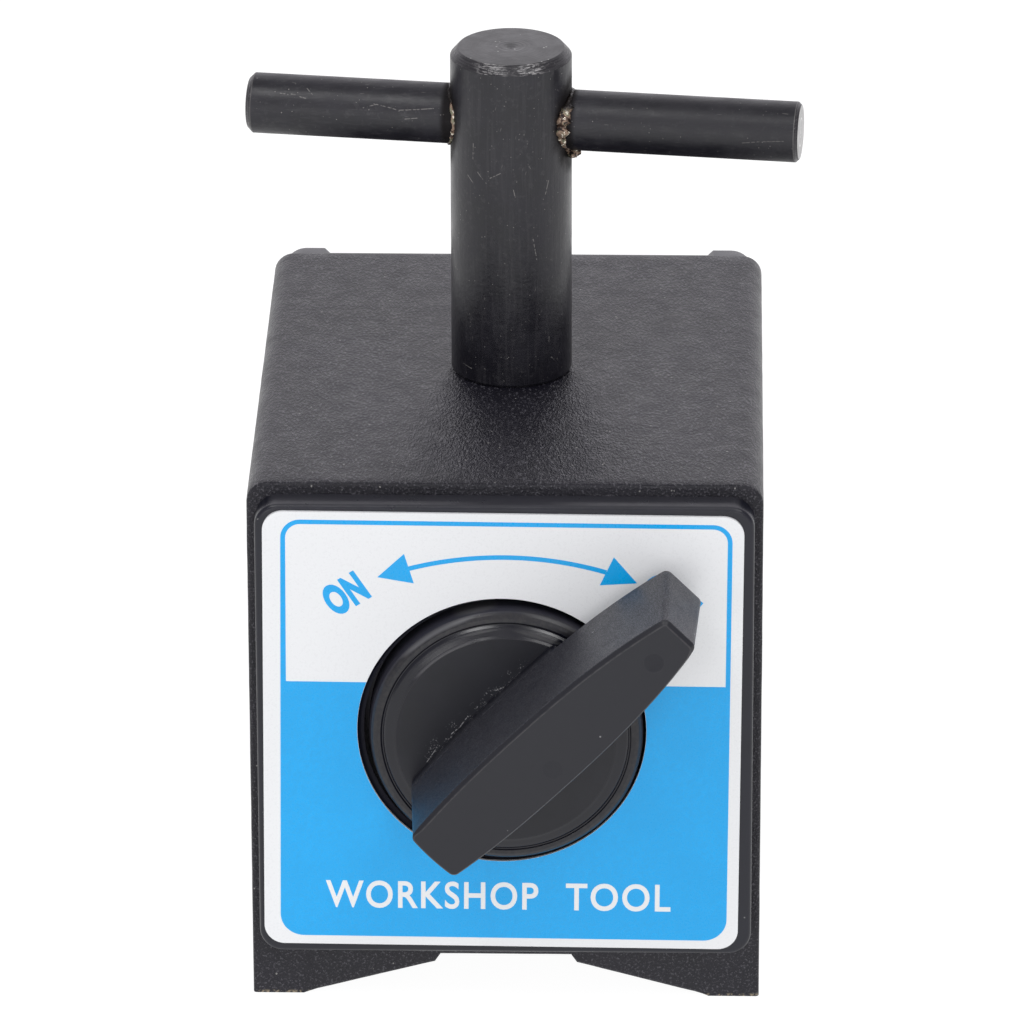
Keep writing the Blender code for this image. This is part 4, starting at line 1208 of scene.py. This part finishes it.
def braze_drop(metal):
    """Loose drop of braze that hangs under the bar's right side."""
    shape = bmesh.new()
    bmesh.ops.create_icosphere(shape, subdivisions=4, radius=0.62 * MM)
    centre = Vector((AXIS_X + 6.15 * MM, AXIS_Y - 1.9 * MM, BAR_Z - 3.05 * MM))
    for vert in shape.verts:
        vert.co.z *= 0.8
        vert.co += centre
        vert.co += noise.noise_vector(vert.co / (0.45 * MM)) * 0.28 * MM
    make_piece("braze_drop", shape, metal, "handle", smooth=80)


def build_stud(steel):
    """Stud with a real helical thread."""
    radius, depth = (STUD_HIGH.x - STUD_LOW.x) / 2, 0.62 * MM
    around, per_turn = 48, 12
    low, high = STUD_LOW.z, STUD_HIGH.z
    count = round((high - low) / THREAD_PITCH * per_turn)
    rings = []
    for i in range(count + 1):
        z = low + (high - low) * i / count
        ring = []
        for k in range(around):
            turn = k / around
            phase = ((z - low) / THREAD_PITCH - turn) % 1.0
            groove = max(0.0, 1 - abs(phase - 0.5) * 2.4)
            fade = min(1.0, (z - low) / (1.0 * MM), (high - z) / (1.0 * MM))
            r = radius - depth * groove - 0.5 * MM * (1 - fade)
            a = 2 * pi * turn
            ring.append((AXIS_X + r * cos(a), AXIS_Y + r * sin(a), z))
        rings.append(ring)
    make_piece("stud_thread", loft(rings), steel, "handle", ["threaded_stud"], smooth=60)


def build_washer(steel):
    """Split spring washer: its ends stand a little apart in height."""
    outer, inner = (WASHER_HIGH.x - WASHER_LOW.x) / 2, 4.2 * MM
    low, high = WASHER_LOW.z, WASHER_HIGH.z
    thick, rise = (high - low) * 0.82, (high - low) * 0.18
    steps, gap = 60, radians(7)
    rings = []
    for i in range(steps + 1):
        t = i / steps
        a = gap / 2 + (2 * pi - gap) * t
        base = low + rise * t
        section = [(inner, base), (outer, base), (outer, base + thick), (inner, base + thick)]
        section = rounded(section, [0.1 * MM] * 4, steps=2)
        rings.append([(AXIS_X + r * cos(a), AXIS_Y + r * sin(a), z) for r, z in section])
    make_piece("split_washer", loft(rings), steel, "washer", ["post_lock_washer"], smooth=40)


# ---------------------------------------------------------------- inner pieces

def paint_inner_pieces(plastic, brass, steel, iron, magnet):
    """The pieces inside keep their CAD shapes and get finished materials."""
    finishes = {
        "stop_pin": steel, "knob_screw": steel, "knob_insert": brass,
        "rotor_front_cap": plastic, "rotor_rear_cap": plastic,
        "rotor_tie_rod_upper": steel, "rotor_tie_rod_lower": steel,
        "rotor_shoe_upper": iron, "rotor_shoe_lower": iron, "rotor_magnet": magnet,
    }
    for number in range(1, 5):
        finishes[f"front_cover_screw_{number}"] = steel
    for node, material in finishes.items():
        mesh = frame["nodes"][node].data
        mesh.materials.clear()
        mesh.materials.append(material)


# ---------------------------------------------------------------- studio

def build_floor():
    shape = bmesh.new()
    bmesh.ops.create_grid(shape, x_segments=8, y_segments=8, size=4.0)
    mesh = bpy.data.meshes.new("floor")
    shape.to_mesh(mesh)
    shape.free()
    floor = bpy.data.objects.new("floor", mesh)
    floor.location.z = -0.02 * MM
    mesh.materials.append(pale_floor())
    bpy.context.scene.collection.objects.link(floor)


def area_light(name, place, target, size, power):
    light = bpy.data.lights.new(name, "AREA")
    light.shape = "RECTANGLE"
    light.size, light.size_y = size
    light.energy = power
    lamp = bpy.data.objects.new(name, light)
    lamp.location = place
    direction = Vector(target) - Vector(place)
    lamp.rotation_euler = direction.to_track_quat("-Z", "Y").to_euler()
    bpy.context.scene.collection.objects.link(lamp)


def build_world():
    """Soft white room: brighter behind and in front, darker at the sides and overhead."""
    world = bpy.data.worlds.new("studio")
    world.use_nodes = True
    room = Nodes(world.node_tree, "Generated")
    background = room.tree.nodes["Background"]
    room.feed(background.inputs["Color"], (0.99, 0.968, 1.02))
    towards = room.axis("Y")
    behind = room.remap(towards, 0.35, 0.80, 0.45, 1.20)
    ahead = room.remap(towards, -0.25, -0.75, 0.0, 0.30)
    room.feed(background.inputs["Strength"], behind + ahead)
    bpy.context.scene.world = world


def build_lights():
    build_world()
    centre = (AXIS_X, AXIS_Y, 0.04)
    area_light("high_left", (-0.35, -0.43, 0.96), centre, (0.30, 0.30), 2.4)
    area_light("high_right", (0.45, -0.42, 0.92), centre, (0.30, 0.30), 2.2)
    area_light("low_left", (-0.47, -1.42, 0.15), centre, (0.46, 0.16), 1.0)
    area_light("floor_left", (-0.15, -1.45, 0.05), centre, (0.09, 0.10), 0.12)
    area_light("floor_right", (0.25, -1.45, 0.06), centre, (0.24, 0.12), 0.34)
    area_light("beside_left", (-0.28, -1.37, 0.58), centre, (0.14, 0.16), 0.45)
    area_light("beside_right", (0.37, -1.37, 0.54), centre, (0.26, 0.22), 1.0)


def build_camera():
    azimuth, elevation, roll = radians(1.34), radians(23.52), radians(-0.13)
    distance = 0.88402
    target = Vector((AXIS_X, AXIS_Y, 0.0391))
    back = Vector((sin(azimuth) * cos(elevation), -cos(azimuth) * cos(elevation), sin(elevation)))
    right = Vector((cos(azimuth), sin(azimuth), 0))
    up = back.cross(right)
    tilted_right = right * cos(roll) + up * sin(roll)
    tilted_up = up * cos(roll) - right * sin(roll)
    camera = bpy.data.cameras.new("camera")
    camera.sensor_width = 36.0
    camera.lens = 309.13
    camera.clip_start = 0.01
    holder = bpy.data.objects.new("camera", camera)
    turn = Matrix((tilted_right, tilted_up, back)).transposed().to_4x4()
    holder.matrix_world = Matrix.Translation(target + back * distance) @ turn
    bpy.context.scene.collection.objects.link(holder)
    bpy.context.scene.camera = holder
    bpy.context.scene.view_settings.view_transform = "Standard"


# ---------------------------------------------------------------- everything

build_camera()
build_lights()
build_floor()

bare = bare_steel()
cover_black = moulded_plastic("cover_plastic", (0.0045, 0.0050, 0.0105), 0.30)
build_body(coated_steel(), ground_steel())
build_front_cover(cover_black)
build_rear_cover(cover_black)
build_rear_screws(bare)
label_white = printed_film("label_white", tone(229, 231, 232), 0.02)
label_blue = printed_film("label_blue", tone(2, 167, 236), 0.10)
build_label(label_white, label_blue)
build_knob(knob_plastic())
post_top = (AXIS_X, AXIS_Y, POST_HIGH.z)
build_post(
    black_steel("post_black"),
    turned_face("post_end_face", post_top, (0, 0, 1), (0.014, 0.0135, 0.015), (0.026, 0.025, 0.026)),
    edge_wear_and_highlight("post_end_edge", post_top, (0, 0, 1), [(-3.7 * MM, 0.1 * MM), (0.0 * MM, 3.9 * MM)]),
)
build_bar(
    black_steel("bar_black", along_bar=True),
    turned_face("bar_end_face", BAR_CENTRE, BAR_LINE, (0.28, 0.28, 0.275), (0.46, 0.455, 0.45)),
    edge_wear_and_highlight("bar_end_edge", BAR_CENTRE, BAR_LINE),
)
braze = braze_metal()
braze_bead("braze_right", 1, 0.24 * MM, 0.46 * MM, braze, 3.0)
braze_bead("braze_left", -1, 0.17 * MM, 0.04 * MM, braze, 8.0)
braze_drop(braze)
build_stud(bare)
build_washer(black_steel("washer_black"))
paint_inner_pieces(cover_black, machined_brass(), bare, bare_steel("soft_iron"), sintered_magnet())
